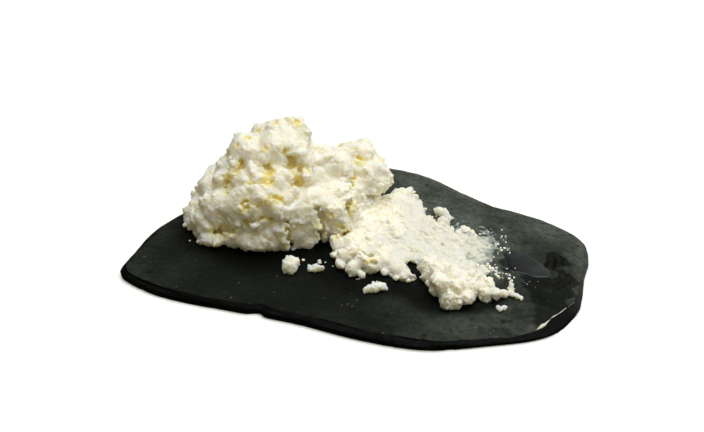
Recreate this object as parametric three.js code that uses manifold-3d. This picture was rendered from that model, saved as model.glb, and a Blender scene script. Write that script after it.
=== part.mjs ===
// A portion of crumbled ricotta on a natural-edged slate board.
// Millimetres, +Z up. The origin is the centre of the board's footprint, on the surface that it stands on.
// +X runs along the board's length, and -Y is the side that the portion is served from.

import * as THREE from "three";
import { mergeVertices } from "three/addons/utils/BufferGeometryUtils.js";
import Module from "manifold-3d";

const wasm = await Module();
wasm.setup();

// Driving dimensions of the slate board
const BOARD_LENGTH = 260;
const BOARD_WIDTH = 176;
const BOARD_THICKNESS = 6.5;
const CHIP_DEPTH = 2.2;
const RIM_STEPS = 120;

// Driving dimensions of the ricotta: the mound on the left and the crumbled spread to its right
const MOUND_SIZE = new THREE.Vector3(84, 78, 63);
const MOUND_CENTRE = new THREE.Vector2(-67, 1);
const SPREAD_SIZE = new THREE.Vector3(112, 100, 12.5);
const SPREAD_START = new THREE.Vector2(-14, -2);
const BED_GAP = 0.2;
const SEAM_GAP = 0.3;

// The upright plane where the mound ends and the spread begins, turned a little to the front
const SEAM_POINT = new THREE.Vector2(-14, -2);
const SEAM_HEADING = THREE.MathUtils.degToRad(-14);

// Heights at which pieces rest
const SLATE_TOP = BOARD_THICKNESS;
const RICOTTA_BASE = SLATE_TOP + BED_GAP;

// The rim seen from above, as shares of half the length and half the width, from the left end over the back
const RIM_CONTROL = [
  [-0.967, -0.888],
  [-0.998, -0.75],
  [-0.989, -0.426],
  [-0.936, -0.108],
  [-0.81, 0.32],
  [-0.58, 0.71],
  [-0.36, 0.93],
  [-0.116, 1.0],
  [0.112, 0.949],
  [0.308, 0.815],
  [0.492, 0.71],
  [0.658, 0.68],
  [0.833, 0.59],
  [0.925, 0.484],
  [0.97, 0.336],
  [0.998, 0.0],
  [0.976, -0.451],
  [0.924, -0.586],
  [0.804, -0.735],
  [0.552, -0.934],
  [0.348, -1.0],
  [-0.108, -0.967],
  [-0.418, -0.972],
  [-0.647, -0.998],
  [-0.811, -0.985],
];

// The board's edge from the underside up: inset from the rim, height and its waviness as shares of the
// thickness, and how much of the chip depth is bitten out
const EDGE_RINGS = [
  { inset: 3.0, height: 0, wave: 0, chip: 0.5 },
  { inset: 0, height: 0.36, wave: 0.1, chip: 0 },
  { inset: 1.6, height: 0.72, wave: 0.09, chip: 0.8 },
  { inset: 4.4, height: 0.91, wave: 0.05, chip: 1.3 },
  { inset: 9.5, height: 0.975, wave: 0.02, chip: 1.5 },
];
const FLAT_SHARES = [0.72, 0.42, 0.16];

// The mound's lobes: middle and reach as shares of the mound's size, from its centre on the slate
const MOUND_LOBES = [
  { name: "foot", at: [0, 0, 0.18], reach: [0.47, 0.46, 0.38] },
  { name: "waist", at: [-0.01, 0.08, 0.42], reach: [0.37, 0.36, 0.35] },
  { name: "crown", at: [0.05, 0.16, 0.62], reach: [0.25, 0.26, 0.31] },
  { name: "left_flank", at: [-0.23, -0.04, 0.28], reach: [0.26, 0.29, 0.31] },
  { name: "front_block", at: [0.02, -0.32, 0.12], reach: [0.3, 0.15, 0.16] },
  { name: "left_toe", at: [-0.29, -0.27, 0.12], reach: [0.2, 0.2, 0.17] },
  { name: "middle_toe", at: [0.36, -0.15, 0.18], reach: [0.13, 0.14, 0.21] },
  { name: "right_toe", at: [0.51, -0.01, 0.18], reach: [0.13, 0.16, 0.2] },
  { name: "shoulder", at: [0.31, 0.26, 0.32], reach: [0.2, 0.22, 0.31] },
  { name: "back_lump", at: [0.5, 0.52, 0.3], reach: [0.2, 0.2, 0.28] },
];
const MOUND_CURDS = { radius: [4, 7.5], bulge: 0.7, spacing: 10.5, facet: 3.5, seed: 11 };

// The spread's ridges: a line of lobes from the seam to the right, as shares of the spread's length and
// depth, with the lobes' half-width as a share of the depth and their height at both ends
const SPREAD_RIDGES = [
  {
    line: [[0.08, 0.4], [0.2, 0.42], [0.36, 0.25], [0.52, 0.19]],
    reach: [0.13, 0.07],
    height: [0.75, 0.35],
    lobes: 5,
  },
  {
    line: [[0.05, 0.18], [0.24, 0.14], [0.42, 0.08], [0.6, 0.07]],
    reach: [0.16, 0.09],
    height: [0.9, 0.25],
    lobes: 5,
  },
  {
    line: [[0.02, -0.04], [0.19, -0.08], [0.35, -0.12], [0.51, -0.13]],
    reach: [0.12, 0.1],
    height: [0.9, 0.5],
    lobes: 4,
  },
  {
    line: [[0.02, -0.15], [0.07, -0.23], [0.15, -0.28], [0.22, -0.23]],
    reach: [0.07, 0.07],
    height: [0.85, 0.7],
    lobes: 4,
  },
  {
    line: [[0.33, -0.2], [0.36, -0.27], [0.4, -0.32]],
    reach: [0.06, 0.03],
    height: [0.55, 0.3],
    lobes: 3,
  },
  {
    line: [[0.5, -0.19], [0.58, -0.29], [0.65, -0.4], [0.67, -0.43]],
    reach: [0.1, 0.07],
    height: [1, 0.75],
    lobes: 3,
  },
  {
    line: [[0.6, -0.24], [0.72, -0.32], [0.83, -0.3], [0.95, -0.26]],
    reach: [0.09, 0.03],
    height: [0.9, 0.35],
    lobes: 5,
  },
];
const SPREAD_CURDS = { radius: [2.6, 4.6], bulge: 0.6, spacing: 6.8, facet: 2.9, seed: 23 };

// Loose curds that lie apart on the slate: place, longest size, heading, knobs and how proud they sit
const LOOSE_CURDS = [
  { at: [-34, -46], length: 12, heading: 60, knobs: 4, rise: 0.9 },
  { at: [-20.5, -40], length: 10.5, heading: 20, knobs: 3, rise: 0.7 },
  { at: [17.5, -50.5], length: 13, heading: 28, knobs: 3, rise: 0.48 },
  { at: [35, 36.5], length: 9.5, heading: -42, knobs: 2, rise: 0.6 },
  { at: [90, -46], length: 7, heading: 0, knobs: 2, rise: 0.5 },
];

// Unevenness: waves round the rim, the skin of a lobe, and the spread of sizes within a loose curd
const RIM_WAVES = [
  { count: 5, share: 0.42, phase: 1 },
  { count: 13, share: 0.33, phase: 2.1 },
  { count: 31, share: 0.25, phase: 3.7 },
];
const CHIP_PHASE = 1.3;
const LEVEL_PHASE = 2.6;
const SKIN_UNEVENNESS = 0.06;
const KNOB_SIZES = [0.85, 1.1];
const KNOB_RISES = [0.8, 1.3];
const LOOSE_CURD_SEED = 101;

// A spread lobe's middle lies this share of its height over the slate, and its top at the full height
const SPREAD_LOBE_MIDDLE = 0.25;

const FULL_TURN = 2 * Math.PI;
const GOLDEN_ANGLE = Math.PI * (3 - Math.sqrt(5));
const ICOSAHEDRON_EDGE = 1.05;

const slateMaterial = new THREE.MeshStandardMaterial({ color: 0x2c3130, roughness: 0.55, metalness: 0 });
const ricottaMaterial = new THREE.MeshStandardMaterial({ color: 0xf4efdf, roughness: 0.7, metalness: 0 });

// Repeatable random numbers from 0 to 1
function seededRandom(seed) {
  let state = seed >>> 0;
  return () => {
    state = (state + 0x6d2b79f5) >>> 0;
    let mixed = Math.imul(state ^ (state >>> 15), 1 | state);
    mixed = (mixed + Math.imul(mixed ^ (mixed >>> 7), 61 | mixed)) ^ mixed;
    return ((mixed ^ (mixed >>> 14)) >>> 0) / 4294967296;
  };
}

// A smooth uneven value from -1 to 1 along a closed line, where turn goes from 0 to 1
function rimWave(turn, phase) {
  return RIM_WAVES.reduce(
    (sum, wave) => sum + wave.share * Math.sin(wave.count * FULL_TURN * turn + wave.phase * phase),
    0,
  );
}

// A smooth uneven value from -1 to 1 over the directions of a sphere
function skinWave(out, phase) {
  const first = Math.sin(2.3 * out.x + 1.1 * out.y + phase);
  const second = Math.sin(2.9 * out.y - 1.7 * out.z + 1.9 * phase);
  const third = Math.sin(3.1 * out.z + 1.3 * out.x + 2.7 * phase);
  return (first + second + third) / 3;
}

// A closed geometry as a solid that can be joined and cut
function solidFrom(geometry) {
  geometry.deleteAttribute("normal");
  geometry.deleteAttribute("uv");
  const merged = mergeVertices(geometry);
  const mesh = new wasm.Mesh({
    numProp: 3,
    vertProperties: new Float32Array(merged.attributes.position.array),
    triVerts: new Uint32Array(merged.index.array),
  });
  return new wasm.Manifold(mesh);
}

function geometryFrom(solid) {
  const mesh = solid.getMesh();
  const geometry = new THREE.BufferGeometry();
  geometry.setAttribute("position", new THREE.BufferAttribute(mesh.vertProperties, 3));
  geometry.setIndex(new THREE.BufferAttribute(mesh.triVerts, 1));
  geometry.computeVertexNormals();
  return geometry;
}

function namedMesh(name, geometry, material) {
  const mesh = new THREE.Mesh(geometry, material);
  mesh.name = name;
  return mesh;
}

// The main body of a solid, without the scraps that a cut leaves loose
function mainBody(solid) {
  return solid.decompose().reduce((best, body) => (body.volume() > best.volume() ? body : best));
}

// The rim as points around the board, fitted to the board's length and width
function rimPoints() {
  const control = RIM_CONTROL.map(([x, y]) => new THREE.Vector3(x, y, 0));
  const points = new THREE.CatmullRomCurve3(control, true, "centripetal").getSpacedPoints(RIM_STEPS);
  points.pop();
  const box = new THREE.Box3().setFromPoints(points);
  const middle = box.getCenter(new THREE.Vector3());
  const extent = box.getSize(new THREE.Vector3());
  const fit = new THREE.Vector3(BOARD_LENGTH / extent.x, BOARD_WIDTH / extent.y, 0);
  return points.map((point) => point.sub(middle).multiply(fit)).reverse();
}

// For each rim point, the level direction that points into the board
function rimInward(rim) {
  return rim.map((_, i) => {
    const before = rim[(i + rim.length - 1) % rim.length];
    const after = rim[(i + 1) % rim.length];
    return new THREE.Vector3(before.y - after.y, after.x - before.x, 0).normalize();
  });
}

// One level of the edge: the rim moved in, with chips bitten out of it, at a height that wanders a little
function edgeRing(rim, inward, ring, level) {
  return rim.map((point, i) => {
    const turn = i / rim.length;
    const chip = Math.max(0, rimWave(turn, CHIP_PHASE)) * CHIP_DEPTH * ring.chip;
    const height = ring.height + ring.wave * rimWave(turn, LEVEL_PHASE + level);
    return point.clone().addScaledVector(inward[i], ring.inset + chip).setZ(height * BOARD_THICKNESS);
  });
}

// A closed skin over rings of equal length, from a middle point under the first to one over the last
function skinOverRings(rings, bottom, top) {
  const count = rings[0].length;
  const points = [...rings.flat(), bottom, top];
  const bottomIndex = points.length - 2;
  const topIndex = points.length - 1;
  const lastRing = (rings.length - 1) * count;
  const index = [];
  for (let i = 0; i < count; i++) {
    const next = (i + 1) % count;
    index.push(bottomIndex, next, i);
    for (let low = 0; low < lastRing; low += count) {
      const high = low + count;
      index.push(low + i, low + next, high + next);
      index.push(low + i, high + next, high + i);
    }
    index.push(topIndex, lastRing + i, lastRing + next);
  }
  const geometry = new THREE.BufferGeometry().setFromPoints(points);
  geometry.setIndex(index);
  geometry.computeVertexNormals();
  return geometry;
}

// The slate board: a chipped edge round a flat top, on a flat underside
function slateBoard() {
  const rim = rimPoints();
  const inward = rimInward(rim);
  const rings = EDGE_RINGS.map((ring, level) => edgeRing(rim, inward, ring, level));
  for (const share of FLAT_SHARES) {
    rings.push(rim.map((point) => point.clone().multiplyScalar(share).setZ(SLATE_TOP)));
  }
  const bottom = new THREE.Vector3(0, 0, 0);
  const top = new THREE.Vector3(0, 0, SLATE_TOP);
  return namedMesh("slate_board", skinOverRings(rings, bottom, top), slateMaterial);
}

// Curds spread evenly over a sphere, each with its direction and its radius in millimetres
function curdsOnLobe(meanReach, curds, random) {
  const count = Math.max(6, Math.round((2 * FULL_TURN * meanReach ** 2) / curds.spacing ** 2));
  const firstTurn = FULL_TURN * random();
  return Array.from({ length: count }, (_, i) => {
    const height = 1 - (2 * i + 1) / count;
    const level = Math.sqrt(1 - height ** 2);
    const angle = GOLDEN_ANGLE * i + firstTurn + 0.5 * random();
    const out = new THREE.Vector3(level * Math.cos(angle), level * Math.sin(angle), height);
    return { out, radius: THREE.MathUtils.lerp(...curds.radius, random() ** 2) };
  });
}

// A lobe of curds: a sphere stretched to its reach, with round knobs standing out of its uneven skin
function curdLobe(lobe, curds, random) {
  const meanReach = (lobe.reach.x + lobe.reach.y + lobe.reach.z) / 3;
  const knobs = curdsOnLobe(meanReach, curds, random);
  const phase = FULL_TURN * random();
  const detail = Math.max(2, Math.round((ICOSAHEDRON_EDGE * meanReach) / curds.facet) - 1);
  const geometry = new THREE.IcosahedronGeometry(1, detail);
  const position = geometry.attributes.position;
  const out = new THREE.Vector3();
  const point = new THREE.Vector3();
  for (let i = 0; i < position.count; i++) {
    out.fromBufferAttribute(position, i).normalize();
    let bulge = 0;
    for (const knob of knobs) {
      const apart = (meanReach * out.angleTo(knob.out)) / knob.radius;
      bulge = Math.max(bulge, curds.bulge * knob.radius * Math.sqrt(Math.max(0, 1 - apart ** 2)));
    }
    point.copy(out).multiply(lobe.reach).multiplyScalar(1 + SKIN_UNEVENNESS * skinWave(out, phase));
    point.addScaledVector(out, bulge).add(lobe.centre);
    position.setXYZ(i, point.x, point.y, point.z);
  }
  return solidFrom(geometry);
}

function joinedLobes(lobes, curds) {
  const random = seededRandom(curds.seed);
  return wasm.Manifold.union(lobes.map((lobe) => curdLobe(lobe, curds, random)));
}

function mound(seamNormal, seamOffset) {
  const origin = new THREE.Vector3(MOUND_CENTRE.x, MOUND_CENTRE.y, SLATE_TOP);
  const lobes = MOUND_LOBES.map((lobe) => ({
    centre: new THREE.Vector3(...lobe.at).multiply(MOUND_SIZE).add(origin),
    reach: new THREE.Vector3(...lobe.reach).multiply(MOUND_SIZE),
  }));
  const solid = joinedLobes(lobes, MOUND_CURDS)
    .trimByPlane([0, 0, 1], RICOTTA_BASE)
    .trimByPlane(seamNormal.clone().negate().toArray(), -seamOffset);
  return namedMesh("ricotta_mound", geometryFrom(mainBody(solid)), ricottaMaterial);
}

// The lobes of one ridge of the spread, strung along its line and shrinking from its start to its end
function ridgeLobes(ridge) {
  const origin = new THREE.Vector3(SPREAD_START.x, SPREAD_START.y, SLATE_TOP);
  const line = new THREE.CatmullRomCurve3(ridge.line.map(([x, y]) => new THREE.Vector3(x, y, 0)));
  return Array.from({ length: ridge.lobes }, (_, i) => {
    const share = i / (ridge.lobes - 1);
    const reach = SPREAD_SIZE.y * THREE.MathUtils.lerp(...ridge.reach, share);
    const height = SPREAD_SIZE.z * THREE.MathUtils.lerp(...ridge.height, share);
    const centre = line.getPoint(share).multiply(SPREAD_SIZE).add(origin);
    centre.z += SPREAD_LOBE_MIDDLE * height;
    return { centre, reach: new THREE.Vector3(reach, reach, (1 - SPREAD_LOBE_MIDDLE) * height) };
  });
}

function spread(seamNormal, seamOffset) {
  const solid = joinedLobes(SPREAD_RIDGES.flatMap(ridgeLobes), SPREAD_CURDS)
    .trimByPlane([0, 0, 1], RICOTTA_BASE)
    .trimByPlane(seamNormal.toArray(), seamOffset + SEAM_GAP);
  return namedMesh("ricotta_spread", geometryFrom(mainBody(solid)), ricottaMaterial);
}

// One loose curd: a few knobs in a row, flat where it lies
function looseCurd(curd, number) {
  const random = seededRandom(LOOSE_CURD_SEED + number);
  const heading = THREE.MathUtils.degToRad(curd.heading);
  const along = new THREE.Vector3(Math.cos(heading), Math.sin(heading), 0);
  const across = new THREE.Vector3(-along.y, along.x, 0);
  const knob = (0.6 * curd.length) / Math.sqrt(curd.knobs);
  const solids = Array.from({ length: curd.knobs }, (_, i) => {
    const size = knob * THREE.MathUtils.lerp(...KNOB_SIZES, random());
    const place = (i / (curd.knobs - 1) - 0.5) * (curd.length - 2 * knob);
    const centre = new THREE.Vector3(curd.at[0], curd.at[1], RICOTTA_BASE)
      .addScaledVector(along, place)
      .addScaledVector(across, (random() - 0.5) * knob);
    centre.z += curd.rise * size * THREE.MathUtils.lerp(...KNOB_RISES, random());
    const geometry = new THREE.IcosahedronGeometry(size, 1);
    geometry.rotateZ(FULL_TURN * random());
    geometry.translate(centre.x, centre.y, centre.z);
    return solidFrom(geometry);
  });
  const solid = wasm.Manifold.union(solids).trimByPlane([0, 0, 1], RICOTTA_BASE);
  return namedMesh(`loose_curd_${number + 1}`, geometryFrom(mainBody(solid)), ricottaMaterial);
}

function ricottaOnSlate() {
  const seamNormal = new THREE.Vector3(Math.cos(SEAM_HEADING), Math.sin(SEAM_HEADING), 0);
  const seamOffset = seamNormal.x * SEAM_POINT.x + seamNormal.y * SEAM_POINT.y;
  const group = new THREE.Group();
  group.add(slateBoard());
  group.add(mound(seamNormal, seamOffset));
  group.add(spread(seamNormal, seamOffset));
  LOOSE_CURDS.forEach((curd, number) => group.add(looseCurd(curd, number)));
  return group;
}

export default ricottaOnSlate();
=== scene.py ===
"""Looks of a portion of crumbled ricotta on a natural-edged slate board.

Lengths inside the classes are millimetres in the part's own frame; meshes are handed over in metres.
"""

import logging
import math
from dataclasses import dataclass
from enum import Enum
from typing import Any, Sequence

import bpy
import numpy as np
import openvdb
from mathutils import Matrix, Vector


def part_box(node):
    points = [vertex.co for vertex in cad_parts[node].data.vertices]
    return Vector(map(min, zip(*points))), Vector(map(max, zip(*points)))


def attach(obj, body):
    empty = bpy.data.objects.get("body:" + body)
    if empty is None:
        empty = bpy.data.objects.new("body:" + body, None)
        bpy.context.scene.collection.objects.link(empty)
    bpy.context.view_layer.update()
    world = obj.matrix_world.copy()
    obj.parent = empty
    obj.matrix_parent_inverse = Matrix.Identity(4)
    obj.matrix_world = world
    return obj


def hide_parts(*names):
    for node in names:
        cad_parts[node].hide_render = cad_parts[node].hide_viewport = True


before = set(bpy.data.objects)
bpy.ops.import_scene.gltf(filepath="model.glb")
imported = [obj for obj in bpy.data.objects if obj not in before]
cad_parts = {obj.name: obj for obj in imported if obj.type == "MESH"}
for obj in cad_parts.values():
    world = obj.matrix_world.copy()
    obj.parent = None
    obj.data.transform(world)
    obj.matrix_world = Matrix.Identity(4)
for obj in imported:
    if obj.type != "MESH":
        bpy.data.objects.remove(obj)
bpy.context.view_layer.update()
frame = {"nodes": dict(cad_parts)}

log = logging.getLogger("ricotta_on_slate")

Array = np.ndarray
Colour = tuple[float, float, float]
Point = tuple[float, float, float]
Spot = tuple[float, float]
Ball = tuple[float, float, float]
Lump = tuple[float, float, float, float]
Socket = bpy.types.NodeSocket
Material = bpy.types.Material
Piece = bpy.types.Object

MM = 0.001
FULL_TURN = 2.0 * math.pi


class Slot(Enum):
    """Material slot names for the slate and the ricotta."""

    SLATE = "slate"
    RICOTTA = "ricotta"


class Mark(Enum):
    """Names of the vertex attributes that materials read."""

    # These two marks carry painted warm shade on the curd: a pale yellow tint in creases and a gold tint
    # round broken hollows.
    HOLLOW = "hollow"
    GOLD_SHADE = "gold_shade"
    WET = "wet"
    # Painted sheen of the slate, mixed with random clouds of its own tone.
    PAINTED_SHEEN_AND_TONE = "painted_sheen_and_tone"
    # Painted shade of the slate: black on its side except at the back right, and before the heap.
    PAINTED_SHADE = "side"
    THICK = "thick"
    SHALLOW = "shallow"


def smooth_step(low: float, high: float, value: Array) -> Array:
    """Ease from 0 at low to 1 at high: with t the share of the way, 3 t squared minus 2 t cubed.

    Args:
        low: Value where the ease starts.
        high: Value where it ends.
        value: Values to ease.

    Returns:
        Eased values from 0 to 1.
    """
    share = np.clip((value - low) / (high - low), 0.0, 1.0)
    return share * share * (3.0 - 2.0 * share)


def lattice_random(cells: Sequence[Array], seed: int) -> Array:
    """Repeatable random numbers from -1 to 1 for whole-numbered cells.

    The cell numbers are multiplied by large odd numbers, mixed by shifts and exclusive-ors, and scaled.

    Args:
        cells: Whole numbers along each axis, in arrays of one shape.
        seed: Picks one of many unlike patterns.

    Returns:
        One number for each cell.
    """
    primes = (0x9E3779B1, 0x85EBCA77, 0xC2B2AE3D)
    mixed = np.full(cells[0].shape, seed * 0x27D4EB2F & 0xFFFFFFFF, np.uint32)
    for cell, prime in zip(cells, primes):
        mixed ^= cell.astype(np.int64).astype(np.uint32) * np.uint32(prime)
        mixed ^= mixed >> np.uint32(15)
        mixed *= np.uint32(0x2C1B3C6D)
    mixed ^= mixed >> np.uint32(12)
    mixed *= np.uint32(0x297A2D39)
    mixed ^= mixed >> np.uint32(15)
    return mixed.astype(np.float32) / np.float32(2**31) - 1.0


def wobble(places: Sequence[Array], size: float, seed: int) -> Array:
    """Smooth uneven values from -1 to 1: random numbers at lattice corners, eased between neighbours.

    Args:
        places: Coordinates along each axis, in arrays of one shape.
        size: Distance between lattice corners, in the coordinates' unit.
        seed: Picks one of many unlike patterns.

    Returns:
        One value for each place.
    """
    scaled = [place / size for place in places]
    low = [np.floor(value) for value in scaled]
    ease = [smooth_step(0.0, 1.0, value - start) for value, start in zip(scaled, low)]
    total = np.zeros(scaled[0].shape, np.float32)
    for corner in np.ndindex(*(2,) * len(scaled)):
        weight = np.ones_like(total)
        for axis, side in enumerate(corner):
            weight = weight * (ease[axis] if side else 1.0 - ease[axis])
        total += weight * lattice_random([start + side for start, side in zip(low, corner)], seed)
    return total


def rough(places: Sequence[Array], size: float, seed: int, octaves: int) -> Array:
    """Several wobbles added, each half the size and half the height of the one before.

    Args:
        places: Coordinates along each axis, in arrays of one shape.
        size: Size of the largest wobble, in the coordinates' unit.
        seed: Picks one of many unlike patterns.
        octaves: Number of wobbles.

    Returns:
        One value from -1 to 1 for each place.
    """
    heights = [0.5**octave for octave in range(octaves)]
    layers = [height * wobble(places, size * height, seed + 17 * i) for i, height in enumerate(heights)]
    return sum(layers) / sum(heights)


def slate_top() -> float:
    """Height of the board's top face, in millimetres."""
    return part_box("slate_board")[1].z / MM


def mesh_piece(name: str, points: Array, faces: Sequence[Array]) -> Piece:
    """A smooth-shaded mesh object at the origin.

    Args:
        name: Name of the piece.
        points: Vertices in millimetres, one row each.
        faces: Arrays of vertex numbers, one row for each face; each array has faces of one size.

    Returns:
        The new object, linked to the scene.
    """
    loops = np.concatenate([part.reshape(-1) for part in faces]).astype(np.int32)
    sizes = np.concatenate([np.full(len(part), part.shape[1]) for part in faces]).astype(np.int32)
    starts = np.concatenate([[0], np.cumsum(sizes)[:-1]]).astype(np.int32)
    mesh = bpy.data.meshes.new(name)
    mesh.vertices.add(len(points))
    mesh.vertices.foreach_set("co", (points * MM).astype(np.float32).reshape(-1))
    mesh.loops.add(len(loops))
    mesh.loops.foreach_set("vertex_index", loops)
    mesh.polygons.add(len(sizes))
    mesh.polygons.foreach_set("loop_start", starts)
    mesh.polygons.foreach_set("use_smooth", np.ones(len(sizes), bool))
    mesh.update(calc_edges=True)
    mesh.validate()
    piece = bpy.data.objects.new(name, mesh)
    bpy.context.scene.collection.objects.link(piece)
    return piece


def mark_points(piece: Piece, mark: Mark, values: Array) -> None:
    """Store one number for each vertex under the mark's name."""
    attribute = piece.data.attributes.new(mark.value, "FLOAT", "POINT")
    attribute.data.foreach_set("value", values.astype(np.float32))


def thinned(piece: Piece, share: float) -> Array:
    """Thin out a piece's faces, flat places first.

    Args:
        piece: Piece whose mesh is replaced.
        share: Share of the triangles to keep; nothing is done from 1 up.

    Returns:
        Its points in millimetres.
    """
    if share < 1.0:
        thinner = piece.modifiers.new("thinner", "DECIMATE")
        thinner.ratio = share
        plain = piece.data
        graph = bpy.context.evaluated_depsgraph_get()
        piece.data = bpy.data.meshes.new_from_object(piece.evaluated_get(graph))
        piece.modifiers.clear()
        bpy.data.meshes.remove(plain)
    points = np.empty(len(piece.data.vertices) * 3, np.float32)
    piece.data.vertices.foreach_get("co", points)
    return points.reshape(-1, 3) / MM


def grid_faces(rows: int, columns: int) -> Array:
    """Four-sided faces of a grid of points that closes on itself along its rows.

    Args:
        rows: Number of rings of points.
        columns: Number of points in each ring.

    Returns:
        Vertex numbers, four to a face.
    """
    row, column = np.meshgrid(np.arange(rows - 1), np.arange(columns), indexing="ij")
    after = (column + 1) % columns
    corners = (row * columns + column, row * columns + after)
    above = ((row + 1) * columns + after, (row + 1) * columns + column)
    return np.stack([*corners, *above], axis=-1).reshape(-1, 4)


def cap_faces(ring_start: int, columns: int, pole: int, outward: bool) -> Array:
    """Three-sided faces that close a ring of points to a pole.

    Args:
        ring_start: Number of the ring's first vertex.
        columns: Number of points in the ring.
        pole: Number of the pole's vertex.
        outward: True where the ring runs round the pole as seen from outside.

    Returns:
        Vertex numbers, three to a face.
    """
    here = np.arange(columns)
    after = (here + 1) % columns
    sides = (here, after) if outward else (after, here)
    return np.stack([sides[0] + ring_start, sides[1] + ring_start, np.full(columns, pole)], axis=-1)


def closed_faces(rows: int, columns: int, inward: bool) -> list[Array]:
    """Faces of a closed piece: rings of points, then one pole before the first ring and one after the last.

    Args:
        rows: Number of rings of points.
        columns: Number of points in each ring.
        inward: True where faces that follow the rings' order would point inwards.

    Returns:
        The faces of the sides and of both ends.
    """
    count = rows * columns
    sides = grid_faces(rows, columns)
    return [
        sides[:, ::-1] if inward else sides,
        cap_faces(0, columns, count, inward),
        cap_faces(count - columns, columns, count + 1, not inward),
    ]


def outline_distance(x: Array, y: Array, corners: Array) -> Array:
    """Distance to a closed outline in the level plane, negative inside it.

    The distance is that to the nearest side. A place is inside where a level ray from it crosses the
    sides an odd number of times.

    Args:
        x: Places along the board.
        y: Places across the board.
        corners: Corners of the outline, one row each.

    Returns:
        One distance for each place.
    """
    nearest = np.full(np.broadcast(x, y).shape, np.inf, np.float32)
    inside = np.zeros(nearest.shape, bool)
    for start, end in zip(corners, np.roll(corners, -1, axis=0)):
        along = end - start
        from_x, from_y = x - start[0], y - start[1]
        share = np.clip((from_x * along[0] + from_y * along[1]) / (along @ along), 0.0, 1.0)
        nearest = np.minimum(nearest, np.hypot(from_x - share * along[0], from_y - share * along[1]))
        if along[1] != 0.0:
            crossing = start[0] + from_y * along[0] / along[1]
            inside ^= ((start[1] > y) != (end[1] > y)) & (x < crossing)
    return np.where(inside, -nearest, nearest)


def oval_reach(x: Array, y: Array, middle: Spot, span: Spot) -> Array:
    """How far out places lie in an oval: 0 in its middle, 1 on its outline."""
    return np.hypot((x - middle[0]) / span[0], (y - middle[1]) / span[1])


def node_triangles(name: str) -> tuple[Array, Array]:
    """Points and triangles of a node's solid, with equal points merged.

    Args:
        name: Name of the node.

    Returns:
        Points in millimetres and vertex numbers, three to a triangle.
    """
    mesh = frame["nodes"][name].data
    points = np.empty(len(mesh.vertices) * 3, np.float32)
    mesh.vertices.foreach_get("co", points)
    mesh.calc_loop_triangles()
    corners = np.empty(len(mesh.loop_triangles) * 3, np.int32)
    mesh.loop_triangles.foreach_get("vertices", corners)
    merged, number = np.unique((points.reshape(-1, 3) / MM).round(3), axis=0, return_inverse=True)
    return merged, number.reshape(-1)[corners].reshape(-1, 3)


@dataclass(frozen=True)
class PhotoView:
    """The photograph's camera: where it stands, and which way each of its pixels looks.

    Attributes:
        azimuth: Turn from straight in front, in degrees.
        elevation: Height of the view, in degrees.
        distance: Distance from the aim point, in millimetres.
        lens: Focal length, in millimetres.
        sensor: Width of the sensor, in millimetres.
        aim: Point in the middle of the view, in millimetres.
        frame: Width and height of the photograph, in pixels.
    """

    azimuth: float = 19.0
    elevation: float = 33.0
    distance: float = 856.0
    lens: float = 70.0
    sensor: float = 36.0
    aim: Point = (-22.8, 29.35, 0.0)
    frame: tuple[int, int] = (704, 432)

    def back(self) -> Array:
        """Unit vector from the aim point to the camera."""
        turn, rise = math.radians(self.azimuth), math.radians(self.elevation)
        return np.array([math.sin(turn) * math.cos(rise), -math.cos(turn) * math.cos(rise), math.sin(rise)])

    def eye(self) -> Array:
        """Place of the camera, in millimetres."""
        return np.array(self.aim) + self.distance * self.back()

    def rays(self, pixels: Array) -> Array:
        """Unit vectors along which pixels look.

        Args:
            pixels: Pixels of the photograph, one row each.

        Returns:
            One vector for each pixel.
        """
        back = self.back()
        turn = math.radians(self.azimuth)
        right = np.array([math.cos(turn), math.sin(turn), 0.0])
        shift = (pixels - np.array(self.frame) / 2.0) * self.sensor / (self.lens * self.frame[0])
        ways = shift[:, :1] * right - shift[:, 1:2] * np.cross(back, right) - back
        return ways / np.linalg.norm(ways, axis=1, keepdims=True)

    def at_height(self, pixels: Array, heights: Array | float) -> Array:
        """Places that pixels show at known heights.

        Args:
            pixels: Pixels of the photograph, one row each.
            heights: Height of each place, in millimetres.

        Returns:
            Places in millimetres, one row each.
        """
        ways = self.rays(pixels)
        return self.eye() + ways * ((heights - self.eye()[2]) / ways[:, 2])[:, None]


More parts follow.
